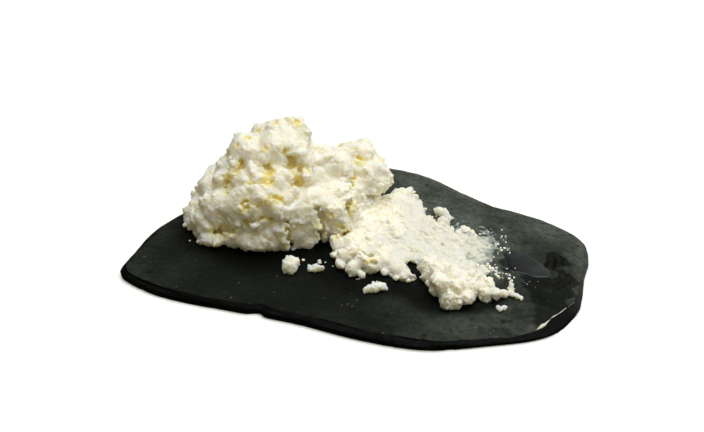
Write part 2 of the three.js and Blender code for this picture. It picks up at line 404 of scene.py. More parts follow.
@dataclass
class DistanceBlock:
    """A block of space that holds, on a cubic lattice, the distance to a skin: negative inside it.

    Attributes:
        low: Lowest corner, in millimetres.
        step: Distance between lattice points, in millimetres.
        values: Distances in millimetres, by X, Y and Z.
    """

    low: Array
    step: float
    values: Array

    @classmethod
    def round_nodes(cls, names: Sequence[str], step: float, margin: float, band: float,
                    beside: Sequence[str] = ()) -> "DistanceBlock":
        """The distance to the solids of some nodes taken together, with their undersides carried far down.

        Args:
            names: Names of the nodes.
            step: Distance between lattice points.
            margin: Free space round the nodes.
            band: Distances are true up to this far from the skin.
            beside: Names of nodes that the block only leaves room for.

        Returns:
            The block.
        """
        solids = [node_triangles(name) for name in names]
        corners = np.concatenate([node_triangles(name)[0] for name in (*names, *beside)])
        low = corners.min(axis=0) - (margin, margin, 2.0)
        shape = np.ceil((corners.max(axis=0) + margin - low) / step).astype(int)
        values = np.full(shape, band, np.float32)
        for points, triangles in solids:
            sunk = points - low
            sunk[points[:, 2] < corners[:, 2].min() + 0.3, 2] -= 2.0 * band
            grid = openvdb.FloatGrid.createLevelSetFromPolygons(
                sunk.astype(np.float32),
                triangles=triangles.astype(np.uint32),
                transform=openvdb.createLinearTransform(step),
                halfWidth=band / step,
            )
            layer = np.empty(shape, np.float32)
            grid.copyToArray(layer)
            np.minimum(values, layer, out=values)
        return cls(low, step, values)

    def places(self) -> list[Array]:
        """Coordinates of every lattice point along X, Y and Z, as arrays that stretch over the block."""
        axes = [self.low[axis] + self.step * np.arange(count) for axis, count in enumerate(self.values.shape)]
        return [place.astype(np.float32) for place in np.meshgrid(*axes, indexing="ij", sparse=True)]

    def uneven(self, size: float, seed: int) -> Array:
        """Smooth uneven values from -1 to 1 over the block.

        Random numbers at the corners of a coarser lattice are eased from corner to corner, axis by axis.

        Args:
            size: Spacing of the coarser lattice, in millimetres.
            seed: Picks one of many unlike patterns.

        Returns:
            One value for each lattice point.
        """
        counts = [int(count * self.step / size) + 3 for count in self.values.shape]
        result = np.random.default_rng(seed).uniform(-1.0, 1.0, counts).astype(np.float32)
        for axis, count in enumerate(self.values.shape):
            place = np.arange(count, dtype=np.float32) * np.float32(self.step / size)
            low = np.floor(place).astype(int)
            shape = [-1 if other == axis else 1 for other in range(3)]
            ease = smooth_step(0.0, 1.0, place - low).reshape(shape)
            before, after = (np.take(result, low + side, axis=axis) for side in range(2))
            result = before * (1.0 - ease) + after * ease
        return result

    def warped(self, waves: Sequence[tuple[float, float]], seed: int) -> list[Array]:
        """Coordinates of every lattice point, pushed about by uneven waves.

        Args:
            waves: Size and push of each wave, in millimetres.
            seed: Picks one of many unlike patterns.

        Returns:
            Pushed coordinates along X, Y and Z.
        """
        pushed = []
        for axis, place in enumerate(self.places()):
            seeds = [seed + 7 * axis + 29 * number for number in range(len(waves))]
            shifts = [push * self.uneven(size, own) for (size, push), own in zip(waves, seeds)]
            pushed.append(place + sum(shifts))
        return pushed

    def skin_points(self, spacing: float, rng: np.random.Generator) -> tuple[Array, Array]:
        """Points spread over the skin, one in each cell of a shifted lattice, and the way out at each.

        Args:
            spacing: Size of the cells, in millimetres.
            rng: Source of the random draws.

        Returns:
            Points, and unit vectors that point out of the skin.
        """
        cells = np.argwhere(np.abs(self.values) < 0.6 * self.step)
        cells = cells[rng.permutation(len(cells))]
        points = self.low + self.step * cells
        key = np.floor(points / spacing + rng.uniform(0.0, 1.0, 3)).astype(np.int64) + 4096
        _, first = np.unique((key[:, 0] * 8192 + key[:, 1]) * 8192 + key[:, 2], return_index=True)
        return points[first], self.outward(points[first])

    def outward(self, points: Array) -> Array:
        """Unit vectors that point out of the skin: the way that the distances grow fastest.

        Args:
            points: Points in millimetres, one row each.

        Returns:
            One vector for each point.
        """
        reach = 1.5 * self.step * np.eye(3)
        slope = np.stack([self.at(points + side) - self.at(points - side) for side in reach], axis=1)
        return slope / np.maximum(np.linalg.norm(slope, axis=1, keepdims=True), 1e-6)

    def met(self, eye: Array, ways: Array, near: float, far: float) -> Array:
        """The first place where each ray meets the skin, or else where it comes nearest to it.

        Args:
            eye: Start of the rays.
            ways: Unit vectors along them, one row each.
            near: Distance along the rays where the search starts.
            far: Distance where it ends.

        Returns:
            Places in millimetres, one row each.
        """
        reach = np.arange(near, far, self.step)
        points = eye + ways[:, None, :] * reach[None, :, None]
        values = self.at(points.reshape(-1, 3)).reshape(len(ways), -1)
        inside = values < 0.0
        first = np.where(inside.any(axis=1), inside.argmax(axis=1), values.argmin(axis=1))
        return points[np.arange(len(ways)), first]

    def fuse_field(self, other: Array, weld: float) -> None:
        """Join another field to the skin, with the same soft weld as a lump's."""
        near = np.clip(weld - np.abs(self.values - other), 0.0, None)
        self.values = np.minimum(self.values, other) - near * near * (0.25 / weld)

    def blurred(self, reach: float) -> Array:
        """The distances averaged with their neighbours by a bell curve.

        Args:
            reach: Half-width of the bell curve, in millimetres.

        Returns:
            Averaged distances.
        """
        sigma = reach / self.step
        half = int(math.ceil(2.5 * sigma))
        weights = np.exp(-0.5 * (np.arange(-half, half + 1) / sigma) ** 2)
        weights = (weights / weights.sum()).astype(np.float32)
        result = self.values
        for axis in range(3):
            widths = [(half, half) if other == axis else (0, 0) for other in range(3)]
            padded = np.pad(result, widths, mode="edge")
            count = result.shape[axis]
            result = sum(
                weight * np.take(padded, range(shift, shift + count), axis=axis)
                for shift, weight in enumerate(weights)
            )
        return result

    def at(self, points: Array, values: Array | None = None) -> Array:
        """Values at free points, in straight steps between the eight lattice points round each.

        Args:
            points: Points in millimetres, one row each.
            values: Another field on the same lattice, or None for the distances.

        Returns:
            One value for each point.
        """
        block = self.values if values is None else values
        place = np.clip((points - self.low) / self.step, 0.0, np.array(block.shape) - 1.001)
        corner = np.floor(place).astype(int)
        share = place - corner
        total = np.zeros(len(points), np.float32)
        for side in np.ndindex(2, 2, 2):
            weight = np.prod(np.where(side, share, 1.0 - share), axis=1)
            total += weight * block[tuple((corner + side).T)]
        return total

    def fuse_balls(self, centres: Array, radii: Array, stretch: Array, weld: float, space: Sequence[Array],
                   slack: float) -> None:
        """Join rounded lumps to the skin, with a soft weld where they meet it.

        A lump's distance is its radius times how far past its stretched ball a point lies. Where that and
        the skin's own distance differ by less than the weld, the smaller is lowered by a quarter of the
        weld times the square of the share that is left.

        Args:
            centres: Middles of the lumps, one row each.
            radii: Radius of each lump.
            stretch: How much longer each lump is along X, Y and Z.
            weld: Width of the weld.
            space: Coordinates of every lattice point, pushed about so that the lumps come out uneven.
            slack: Furthest push of those coordinates.
        """
        halves = np.ceil((radii[:, None] * stretch + weld + slack) / self.step).astype(int)
        middles = np.round((centres - self.low) / self.step).astype(int)
        for centre, radius, scale, cell, half in zip(centres, radii, stretch, middles, halves):
            window = tuple(slice(max(0, c - h), max(0, c + h + 1)) for c, h in zip(cell, half))
            block = self.values[window]
            if block.size == 0:
                continue
            square = sum(((axis[window] - place) / k) ** 2 for axis, place, k in zip(space, centre, scale))
            ball = np.sqrt(square) - radius
            near = np.clip(weld - np.abs(block - ball), 0.0, None)
            block[...] = np.minimum(block, ball) - near * near * (0.25 / weld)

    def carve_balls(self, centres: Array, radii: Array, space: Sequence[Array], slack: float) -> None:
        """Cut uneven hollows out of the skin.

        Args:
            centres: Middles of the hollows, one row each.
            radii: Radius of each hollow.
            space: Coordinates of every lattice point, pushed about so that the hollows come out uneven.
            slack: Furthest push of those coordinates.
        """
        for centre, radius in zip(centres, radii):
            half = int(math.ceil((radius + slack) / self.step))
            cell = np.round((centre - self.low) / self.step).astype(int)
            window = tuple(slice(max(0, c - half), max(0, c + half + 1)) for c in cell)
            square = sum((axis[window] - place) ** 2 for axis, place in zip(space, centre))
            block = self.values[window]
            block[...] = np.maximum(block, radius - np.sqrt(square))

    def skin(self, values: Array) -> tuple[Array, list[Array]]:
        """The surface where a field on this lattice crosses zero.

        Args:
            values: The field, negative inside.

        Returns:
            Points in millimetres, and faces: arrays of vertex numbers, each of faces of one size.
        """
        far = 4.0 * self.step
        grid = openvdb.FloatGrid(background=float(far))
        grid.copyFromArray(np.clip(values, -far, far).astype(np.float32))
        points, triangles, quads = grid.convertToPolygons(0.0, 0.0)
        return points * self.step + self.low, [part for part in (triangles, quads) if len(part)]


class ShaderBench:
    """Builds one node material: adds nodes, sets their sockets and joins them."""

    def __init__(self, name: str) -> None:
        """Start an empty material.

        Args:
            name: Name of the material.
        """
        self.material = bpy.data.materials.new(name)
        self.material.use_nodes = True
        self.tree = self.material.node_tree
        self.tree.nodes.clear()

    def add(self, kind: str, sockets: dict[str | int, Any] | None = None, **settings: Any) -> bpy.types.Node:
        """Add a node.

        Args:
            kind: Type name of the node, without its common beginning.
            sockets: Inputs by name or number: a socket joins, anything else is set.
            settings: Properties of the node.

        Returns:
            The node.
        """
        node = self.tree.nodes.new("ShaderNode" + kind)
        for name, value in settings.items():
            setattr(node, name, value)
        for key, value in (sockets or {}).items():
            if isinstance(value, Socket):
                self.tree.links.new(value, node.inputs[key])
            else:
                node.inputs[key].default_value = value
        return node

    def position(self) -> Socket:
        """The place on the piece, in metres."""
        return self.add("TexCoord").outputs["Object"]

    def mark(self, mark: Mark) -> Socket:
        """A number stored on the piece's vertices."""
        return self.add("Attribute", attribute_name=mark.value).outputs["Fac"]

    def noise(self, place: Socket, size_mm: float, detail: float, roughness: float) -> Socket:
        """Cloudy values from 0 to 1.

        Args:
            place: Place that the pattern follows.
            size_mm: Size of its largest clouds.
            detail: Number of finer layers.
            roughness: How strong the finer layers are.

        Returns:
            The values' socket.
        """
        sockets = {"Vector": place, "Scale": 1.0 / (size_mm * MM), "Detail": detail, "Roughness": roughness}
        return self.add("TexNoise", sockets).outputs["Fac"]

    def ramp(self, value: Any, low: float, high: float, to_low: float, to_high: float) -> Socket:
        """Map a range of values to another with a soft start and end."""
        sockets = {"Value": value, 1: low, 2: high, 3: to_low, 4: to_high}
        return self.add("MapRange", sockets, interpolation_type="SMOOTHSTEP").outputs["Result"]

    def math(self, operation: str, first: Any, second: Any = 0.0) -> Socket:
        """One sum or product of two values."""
        return self.add("Math", {0: first, 1: second}, operation=operation).outputs["Value"]

    def mix(self, share: Any, first: Any, second: Any) -> Socket:
        """A colour between two colours."""
        pick = [value if isinstance(value, Socket) else (*value, 1.0) for value in (first, second)]
        return self.add("Mix", {0: share, 6: pick[0], 7: pick[1]}, data_type="RGBA").outputs[2]

    def bump(self, height: Any, distance_mm: float, strength: float, under: Any = None) -> Socket:
        """Fine relief in the shading.

        Args:
            height: Height from 0 to 1.
            distance_mm: Height of the relief.
            strength: Strength from 0 to 1.
            under: Relief that this one lies on, or None.

        Returns:
            The normal's socket.
        """
        sockets = {"Height": height, "Distance": distance_mm * MM, "Strength": strength}
        if under is not None:
            sockets["Normal"] = under
        return self.add("Bump", sockets).outputs["Normal"]

    def finish(self, **sockets: Any) -> Material:
        """Join a Principled shader to the output.

        Args:
            sockets: Its inputs, with underscores for spaces.

        Returns:
            The finished material.
        """
        named = {key.replace("_", " "): value for key, value in sockets.items()}
        shader = self.add("BsdfPrincipled", named)
        self.add("OutputMaterial", {"Surface": shader.outputs["BSDF"]})
        return self.material


@dataclass(frozen=True)
class CurdFinish:
    """Moist curd: white on its knobs, with painted warm shade between them and in its hollows: pale yellow
    and gold tints that stand in for light scattered in the curd.

    Attributes:
        white: Colour of the knobs.
        warm_shade_tint: Colour of the painted warm shade between the knobs.
        gold_shade: Colour of the painted warm shade in the broken hollows.
        soaked_and_painted_shade: Colour of the wet flat.
        subsurface_mm: How far light travels in the curd.
        shallow_mm: How far it travels where the shallow mark is full.
    """

    white: Colour = (0.89, 0.875, 0.78)
    warm_shade_tint: Colour = (0.90, 0.85, 0.66)
    gold_shade: Colour = (0.88, 0.76, 0.24)
    soaked_and_painted_shade: Colour = (0.73, 0.735, 0.67)
    subsurface_mm: float = 6.0
    shallow_mm: float = 0.6

    def material(self) -> Material:
        """The finish as a material that reads the hollow mark and the mark of the gold tint, which carry
        painted warm shade, and the wet and shallow marks.

        Light travels less far in small crumbs, and along the seam of two pieces, where it would be lost.

        Returns:
            The material.
        """
        bench = ShaderBench("ricotta_curd")
        place = bench.position()
        hollow = bench.mark(Mark.HOLLOW)
        gold_shade = bench.mark(Mark.GOLD_SHADE)
        cloud = bench.noise(place, 9.0, 3.0, 0.55)
        grain = bench.noise(place, 1.1, 3.0, 0.6)
        speck = bench.noise(place, 2.6, 2.0, 0.5)
        # painted warm shade: a pale yellow tint in the creases and a gold tint round the broken hollows
        warm_shaded = bench.math("MULTIPLY", hollow, bench.ramp(cloud, 0.3, 0.7, 0.55, 1.0))
        tone = bench.mix(warm_shaded, self.white, self.warm_shade_tint)
        yellow = bench.math("MULTIPLY", gold_shade, bench.ramp(speck, 0.25, 0.65, 0.45, 1.0))
        tone = bench.mix(yellow, tone, self.gold_shade)
        tone = bench.mix(bench.math("MULTIPLY", bench.mark(Mark.WET), 0.8), tone, self.soaked_and_painted_shade)
        moist = bench.ramp(cloud, 0.35, 0.7, 0.42, 0.66)
        relief = bench.bump(grain, 0.3, 0.35)
        travel = bench.ramp(bench.mark(Mark.SHALLOW), 0.0, 1.0, self.subsurface_mm * MM, self.shallow_mm * MM)
        return bench.finish(
            Base_Color=tone,
            Roughness=moist,
            Specular_IOR_Level=0.35,
            Subsurface_Weight=1.0,
            Subsurface_Radius=(1.0, 0.8, 0.45),
            Subsurface_Scale=travel,
            Normal=relief,
        )


@dataclass(frozen=True)
class SlateFinish:
    """Riven slate: dark green-grey clouds with pale specks, paler at the back right as painted sheen, glossy
    where damp, and black as painted shade at its side and before the heap.

    Attributes:
        dark: Colour of the darker clouds.
        pale: Colour of the paler ones.
        black: Colour of the side and of soaked places.
        speck: Colour of the specks.
    """

    dark: Colour = (0.0022, 0.0036, 0.0020)
    pale: Colour = (0.150, 0.176, 0.150)
    # black: Colour of the painted shade on the side and before the heap.
    black: Colour = (0.0004, 0.0011, 0.0009)
    speck: Colour = (0.13, 0.13, 0.105)

    def material(self) -> Material:
        """The finish as a material that reads the wet mark, the mark of painted sheen and tone, and the mark
        of painted shade.

        Returns:
            The material.
        """
        bench = ShaderBench("riven_slate")
        place = bench.position()
        wet = bench.mark(Mark.WET)
        painted_sheen_and_tone = bench.mark(Mark.PAINTED_SHEEN_AND_TONE)
        broad = bench.noise(place, 46.0, 4.0, 0.6)
        fine = bench.noise(place, 3.2, 5.0, 0.65)
        grain = bench.noise(place, 0.7, 3.0, 0.6)
        cells = bench.add("TexVoronoi", {"Vector": place, "Scale": 1.0 / (5.0 * MM)}, feature="F1")
        dots = bench.ramp(cells.outputs["Distance"], 0.09, 0.16, 1.0, 0.0)
        kept = bench.ramp(bench.noise(place, 16.0, 2.0, 0.5), 0.46, 0.6, 0.0, 1.0)
        dusty = bench.math("MULTIPLY", dots, kept)
        # painted sheen: the paler clouds come out where the sheen mark is high
        light = bench.math("MULTIPLY", painted_sheen_and_tone, bench.ramp(broad, 0.32, 0.68, 0.35, 1.0))
        tone = bench.mix(light, self.dark, self.pale)
        tone = bench.mix(bench.ramp(fine, 0.3, 0.7, 0.1, 0.55), tone, self.dark)
        tone = bench.mix(bench.math("MULTIPLY", dusty, 0.55), tone, self.speck)
        tone = bench.mix(bench.math("MULTIPLY", wet, 0.55), tone, self.dark)
        # painted shade: black on the side and before the heap
        tone = bench.mix(bench.mark(Mark.PAINTED_SHADE), tone, self.black)
        dry = bench.ramp(fine, 0.3, 0.7, 0.40, 0.62)
        gloss = bench.add("Mix", {0: wet, 2: dry, 3: 0.3}, data_type="FLOAT").outputs[0]
        scale = bench.bump(fine, 0.4, 0.5)
        relief = bench.bump(grain, 0.08, 0.4, scale)
        return bench.finish(Base_Color=tone, Roughness=gloss, Specular_IOR_Level=0.05, Normal=relief)


@dataclass(frozen=True)
class MilkFinish:
    """Milk on dark stone: blue-grey where it is thin, white where it is thick.

    Attributes:
        thin: Colour where the thick mark is empty.
        thick: Colour where it is full.
    """

    thin: Colour = (0.20, 0.24, 0.235)
    thick: Colour = (0.72, 0.73, 0.62)

    def material(self) -> Material:
        """The finish as a material that reads the thick mark.

        Returns:
            The material.
        """
        bench = ShaderBench("milk_film")
        place = bench.position()
        curdle = bench.noise(place, 2.0, 3.0, 0.6)
        share = bench.math("MULTIPLY", bench.mark(Mark.THICK), bench.ramp(curdle, 0.2, 0.6, 0.75, 1.0))
        return bench.finish(
            Base_Color=bench.mix(share, self.thin, self.thick),
            Roughness=bench.ramp(curdle, 0.3, 0.7, 0.22, 0.45),
            Specular_IOR_Level=0.4,
            Normal=bench.bump(curdle, 0.25, 0.2),
        )


@dataclass(frozen=True)
class WheyFinish:
    """Thin whey that shows the dark stone under it and shines.

    Attributes:
        deep: Colour of the clear whey over the stone.
        cloudy: Colour of its milky clouds.
    """

    deep: Colour = (0.006, 0.0085, 0.0090)
    cloudy: Colour = (0.015, 0.025, 0.027)

    def material(self) -> Material:
        """The finish as a glossy dark material with faint milky clouds.

        Returns:
            The material.
        """
        bench = ShaderBench("whey")
        cloud = bench.noise(bench.position(), 12.0, 3.0, 0.5)
        return bench.finish(
            Base_Color=bench.mix(bench.ramp(cloud, 0.35, 0.7, 0.0, 1.0), self.deep, self.cloudy),
            Roughness=bench.ramp(cloud, 0.3, 0.7, 0.06, 0.14),
            IOR=1.34,
        )


@dataclass(frozen=True)
class FloorFinish:
    """Plain pale matt floor, lit from below like a light table, so that it stays white.

    Attributes:
        shade: Colour of the floor.
        glow: Strength of its own light.
    """

    shade: Colour = (0.85, 0.85, 0.87)
    glow: float = 0.2

    def material(self) -> Material:
        """The finish as a matt material with a trace of unevenness.

        Returns:
            The material.
        """
        bench = ShaderBench("pale_floor")
        cloud = bench.noise(bench.position(), 400.0, 2.0, 0.5)
        lighter = tuple(value + 0.02 for value in self.shade)
        return bench.finish(
            Base_Color=bench.mix(cloud, self.shade, lighter),
            Roughness=0.9,
            Emission_Color=(1.0, 1.0, 1.0, 1.0),
            Emission_Strength=self.glow,
        )


@dataclass(frozen=True)
class Crumbling:
    """One size of lumps that cover a skin.

    Attributes:
        spacing: Distance between lumps.
        radii: Smallest and largest radius.
        sunk: Least and most that a lump's middle lies under the skin, as shares of its radius.
        weld: Width of the soft joint to its neighbours.
        calming: How much deeper the lumps lie where the heap is calm.
    """

    spacing: float
    radii: tuple[float, float]
    sunk: tuple[float, float]
    weld: float
    calming: float = 0.0

    def lumps(self, block: DistanceBlock, rng: np.random.Generator) -> tuple[Array, Array, Array]:
        """Lumps spread over the skin of a block, most of them small.

        Args:
            block: The block that holds the skin.
            rng: Source of the random draws.

        Returns:
            Middles, radii and stretches.
        """
        points, outward = block.skin_points(self.spacing, rng)
        share = rng.uniform(0.0, 1.0, len(points)) ** 1.6
        radii = self.radii[0] + (self.radii[1] - self.radii[0]) * share
        calm = smooth_step(-0.1, 0.5, wobble(list(points.T), 21.0, 91))
        depth = radii * np.minimum(0.9, rng.uniform(*self.sunk, len(points)) + self.calming * calm)
        stretch = rng.uniform(0.78, 1.28, (len(points), 3))
        return points - outward * depth[:, None], radii, stretch


@dataclass(frozen=True)
class Growth:
    """A grown heap.

    Attributes:
        block: The finished block.
        plain: The block that it grew from.
        round_off: Finished distances averaged over a few millimetres: low in hollows.
        hollows: Place and radius of each broken hollow.
    """

    block: DistanceBlock
    plain: DistanceBlock
    round_off: Array
    hollows: list[tuple[Array, float]]


@dataclass
class RicottaHeap:
    """The mound and the spread: a core grown over with lumps, curds and grains, with broken hollows.

    Attributes:
        view: The photograph's camera, which places what is read off the photograph.
        step: Fineness of the distance block.
        margin: Free space in it round the solids.
        band: Distances are true up to this far from the solid's skin.
        seed: Seed of the random draws.
        search: How far before and past the aim point rays look for the skin.
        sink: How far the curd reaches into the slate's relief.
        seam_point: A point of the upright plane where the mound and the spread meet.
        seam_heading: Direction across that plane, in degrees from +X.
        seam_blend: How far from the plane the mound's ways of growing fade out.
        seam_gap: How far each piece lies under the other where the other shows.
        overlap: How far the two pieces reach into each other.
        core_welds: Width of the soft joint of the swells and of the brow.
        core_blurs: How far the core is softened before and after the brow.
        gap: How deep the gaps between the mound's lumps go.
        bed_weld: Width of the soft joint of the mound and the spread.
        cover: How far out random lumps may stand on the spread.
        cover_falls: How much less that is on the mound, and less again at its front.
        front_band: Where the mound's front starts and is full, along the line of sight.
        clear_reach: Share of a boulder's radius that random lumps keep off.
        boulder_stretch: Least and most stretch of a boulder.
        stretch: Least and most stretch of a knob or a stone.
        boulder_weld: Width of the soft joint of a boulder.
        knob_weld: Width of the soft joint of a knob.
        bulky: Radius past which a stone is bulky.
        stone_welds: Width of the soft joint of bulky stones and of the others.
        dish_lift: How far a pit's middle stands out, as a share of its radius.
        dish_widening: How much wider than its radius a pit is cut.
        cave_depth: How far in a cave's middle lies.
        cave_widening: What is added to a cave's radius.
        waves: Size and push of the waves that make lumps uneven.
        mild_waves: The same for stones and clefts.
        wave_seed: Seed of the waves.
        push: Furthest that the waves push a lump.
        pit_slack: The same for a hollow, with room to spare.
        even_slack: Room left round a lump that no wave pushes.
        calm_reach: Share of a boulder's radius that is calm.
        calm_curds: Share of the curds that is left out on boulders and on bulky stones.
        calm_grains: The same for grains.
        flat_bare: Share of both that is left out on the flat of the spread.
        flat_shrink: How much smaller they are there.
        grit_height: Height of the finest unevenness.
        grit_size: Its size.
        grit_seed: Its seed.
        most_faces: Most triangles in one piece.
        bed_shallow: How much less far light travels in the spread, from 0 to 1.
        seam_shallow: The same along the seam.
        clumps: Random lumps of the mound.
        bed_clumps: Random lumps of the spread.
        curds: Curds on the skin of both.
        grains: Grains on the curds.
        swells: Fuller places of the mound's core: where, and how large.
        brow: Where the mound's front stands out further: pixel, radius, and how far.
        bed: Outline of the spread, in pixels of the photograph at the slate's height.
        bed_heights: Height of the spread at places along the board.
        stones: Larger lumps on the slate: pixel, height of the middle over the slate, and radius.
        boulders: Large calm lumps of the mound's skin: pixel, radius, and how far each stands proud.
        knobs: Smaller lumps of it, in the same form.
        pits: Broken hollows: pixel, and radius.
        caves: Deeper ones, in the same form.
        clefts: Gaps in the foot through which the slate shows: pixel, and half width.
        cleft_height: Height over the slate up to which they are open.
    """

    view: PhotoView = PhotoView()
    step: float = 0.5
    margin: float = 12.5
    band: float = 9.0
    seed: int = 5
    search: Spot = (160.0, 120.0)
    sink: float = 0.9
    seam_point: Spot = (-14.0, -2.0)
    seam_heading: float = -14.0
    seam_blend: float = 8.0
    seam_gap: float = 0.3
    overlap: float = 3.0
    core_welds: Spot = (5.0, 6.0)
    core_blurs: Spot = (2.4, 1.2)
    gap: float = 2.2
    bed_weld: float = 3.0
    cover: float = 1.6
    cover_falls: Spot = (0.5, 1.5)
    front_band: Spot = (-38.0, -26.0)
    clear_reach: float = 0.7
    boulder_stretch: Spot = (0.9, 1.15)
    stretch: Spot = (0.85, 1.18)
    boulder_weld: float = 2.0
    knob_weld: float = 1.6
    bulky: float = 3.9
    stone_welds: Spot = (1.6, 0.8)
    dish_lift: float = 0.15
    dish_widening: float = 1.1
    cave_depth: float = 1.8
    cave_widening: float = 0.6
    waves: tuple[Spot, ...] = ((7.0, 1.4), (3.0, 0.7))
    mild_waves: tuple[Spot, ...] = ((7.0, 1.0), (3.0, 0.3))
    wave_seed: int = 31
    push: float = 2.4
    pit_slack: float = 2.6
    even_slack: float = 0.3
    calm_reach: float = 0.8
    calm_curds: Spot = (0.85, 0.35)
    calm_grains: Spot = (0.4, 0.0)
    flat_bare: float = 0.25
    flat_shrink: float = 0.25
    grit_height: float = 0.1
    grit_size: float = 1.1
    grit_seed: int = 61
    most_faces: int = 192000
    bed_shallow: float = 0.55
    seam_shallow: float = 0.8
    clumps: Crumbling = Crumbling(6.2, (2.4, 5.6), (0.3, 0.75), 1.1, 0.1)
    bed_clumps: Crumbling = Crumbling(4.4, (1.6, 3.6), (0.4, 0.85), 1.0)
    curds: Crumbling = Crumbling(2.9, (0.8, 1.8), (0.5, 0.95), 0.75, 0.1)
    grains: Crumbling = Crumbling(1.5, (0.35, 0.75), (0.2, 0.75), 0.25)
    swells: tuple[tuple[Point, float], ...] = (
        ((-53.0, 17.0, 60.0), 7.0),
        ((-61.0, 13.0, 60.0), 6.5),
        ((-77.0, 0.0, 53.0), 8.0),
        ((-81.0, -0.6, 54.0), 8.5),
        ((-84.0, -2.0, 46.0), 8.0),
        ((-91.0, -4.0, 35.0), 8.0),
        ((-36.0, 18.0, 42.0), 8.0),
        ((-9.5, 36.0, 28.0), 8.5),
        ((-21.0, 18.0, 16.0), 9.0),
        ((-14.0, 28.0, 12.0), 9.0),
        ((-24.0, 8.0, 21.0), 9.0),
        ((-18.0, 4.0, 10.0), 9.0),
    )
    brow: tuple[Lump, ...] = (
        (212, 203, 10.0, 4.5), (228, 201, 11.0, 6.5), (245, 200, 12.0, 8.0), (262, 200, 12.0, 8.0),
        (280, 199, 12.0, 8.0), (298, 198, 11.0, 7.0), (312, 199, 10.0, 5.0), (225, 181, 11.0, 3.5),
        (243, 179, 12.0, 4.5), (262, 179, 12.0, 5.0), (281, 178, 12.0, 5.0), (299, 177, 11.0, 4.0),
        (255, 160, 11.0, 2.5), (272, 157, 11.0, 4.0), (290, 156, 11.0, 4.0), (302, 153, 9.0, 2.5),
        (322, 206, 9.0, 4.0), (335, 208, 9.0, 4.0), (322, 188, 9.0, 3.0), (342, 189, 9.0, 4.0),
        (355, 187, 9.0, 5.5), (367, 185, 9.0, 5.0), (374, 182, 8.0, 2.5), (348, 170, 9.0, 3.0),
        (363, 170, 9.0, 3.0),
    )
    bed: tuple[Spot, ...] = (
        (345, 205), (362, 200), (376, 204), (385, 200), (394, 195), (411, 190), (413, 198), (423, 210),
        (430, 221), (437, 226), (444, 229), (450, 232), (457, 235), (461, 242), (463, 250), (467, 258),
        (476, 264), (483, 271), (482, 282), (450, 288), (428, 277), (418, 262), (405, 264), (411, 277),
        (401, 278), (390, 273), (375, 266), (354, 264), (342, 255), (340, 243), (348, 232),
    )
    bed_heights: tuple[Spot, ...] = (
        (-14.0, 8.0), (14.0, 6.2), (34.0, 3.8), (48.0, 2.0), (60.0, 0.9), (72.0, 0.5),
    )
    stones: tuple[Lump, ...] = (
        (430, 268, 5.0, 5.5), (440, 272, 7.0, 6.0), (452, 277, 8.0, 6.5), (464, 283, 7.0, 6.0),
        (474, 287, 5.0, 5.0), (437, 284, 5.0, 5.0), (448, 292, 5.5, 5.4), (449, 300, 4.6, 4.6),
        (462, 296, 4.5, 4.4), (471, 294, 4.0, 4.0), (429, 276, 4.0, 3.8), (436, 291, 3.4, 3.4),
        (443, 286, 10.0, 4.4), (452, 287, 10.0, 4.6), (461, 286, 9.0, 4.2), (470, 285, 8.0, 4.0),
        (437, 279, 9.5, 4.4), (466, 297, 4.4, 4.0), (447, 303, 3.2, 3.6), (455, 302, 3.2, 3.6),
        (482, 270, 1.2, 1.8), (486, 273, 1.4, 2.0), (490, 270, 1.0, 1.4), (479, 275, 1.4, 1.8),
        (487, 266, 0.8, 1.2),
        (488, 287, 4.5, 4.4), (485, 294, 3.2, 3.4), (497, 293, 3.6, 3.6), (505, 294, 2.6, 2.6),
        (511, 294, 1.8, 2.0), (511, 289, 3.4, 1.4), (512, 285, 5.0, 1.2), (512, 281, 6.4, 0.9),
        (517, 296, 1.0, 1.6), (522, 297, 0.7, 1.1), (352, 190, 17.0, 8.0), (364, 187, 16.0, 8.0),
        (371, 184, 15.0, 7.0), (338, 245, 3.9, 4.6), (334, 254, 2.2, 2.6), (345, 257, 3.9, 4.6),
        (341, 264, 2.5, 3.0), (353, 268, 3.7, 4.4), (363, 263, 4.6, 4.6), (362, 274, 2.0, 2.4),
        (372, 266, 3.8, 4.2), (380, 261, 4.2, 4.6), (384, 272, 1.9, 2.2), (397, 269, 3.0, 3.6),
        (402, 277, 2.0, 2.0), (396, 278, 1.6, 1.8), (409, 281, 1.0, 1.1), (443, 226, 2.0, 3.4),
        (449, 231, 1.5, 2.6), (415, 197, 1.2, 2.4), (300, 229, 9.0, 8.0), (311, 230, 8.0, 6.0),
        (293, 235, 5.0, 5.0), (298, 239, 4.0, 4.4), (306, 241, 3.6, 4.2), (311, 243, 2.8, 3.4),
        (338, 224, 9.0, 7.0), (345, 219, 11.0, 7.0), (335, 232, 5.5, 4.5),
        (199, 204, 14.0, 6.0), (193, 213, 9.0, 5.6), (194, 222, 5.0, 4.6), (201, 230, 4.0, 4.2),
        (208, 240, 4.0, 4.0), (218, 240, 4.5, 4.4), (231, 240, 5.0, 4.8), (246, 240, 6.0, 6.0),
        (260, 241, 6.0, 6.6), (273, 241, 6.0, 6.2), (281, 237, 7.0, 5.2),
        (352, 214, 8.0, 5.0), (360, 206, 9.0, 5.5), (368, 203, 8.0, 5.0),
        (376, 205, 6.0, 4.2), (388, 205, 3.2, 3.2), (366, 214, 5.5, 4.0), (376, 210, 5.0, 3.8),
        (357, 223, 6.0, 4.5), (397, 199, 2.8, 2.8), (406, 194, 2.4, 2.4), (348, 228, 6.5, 4.5),
    )
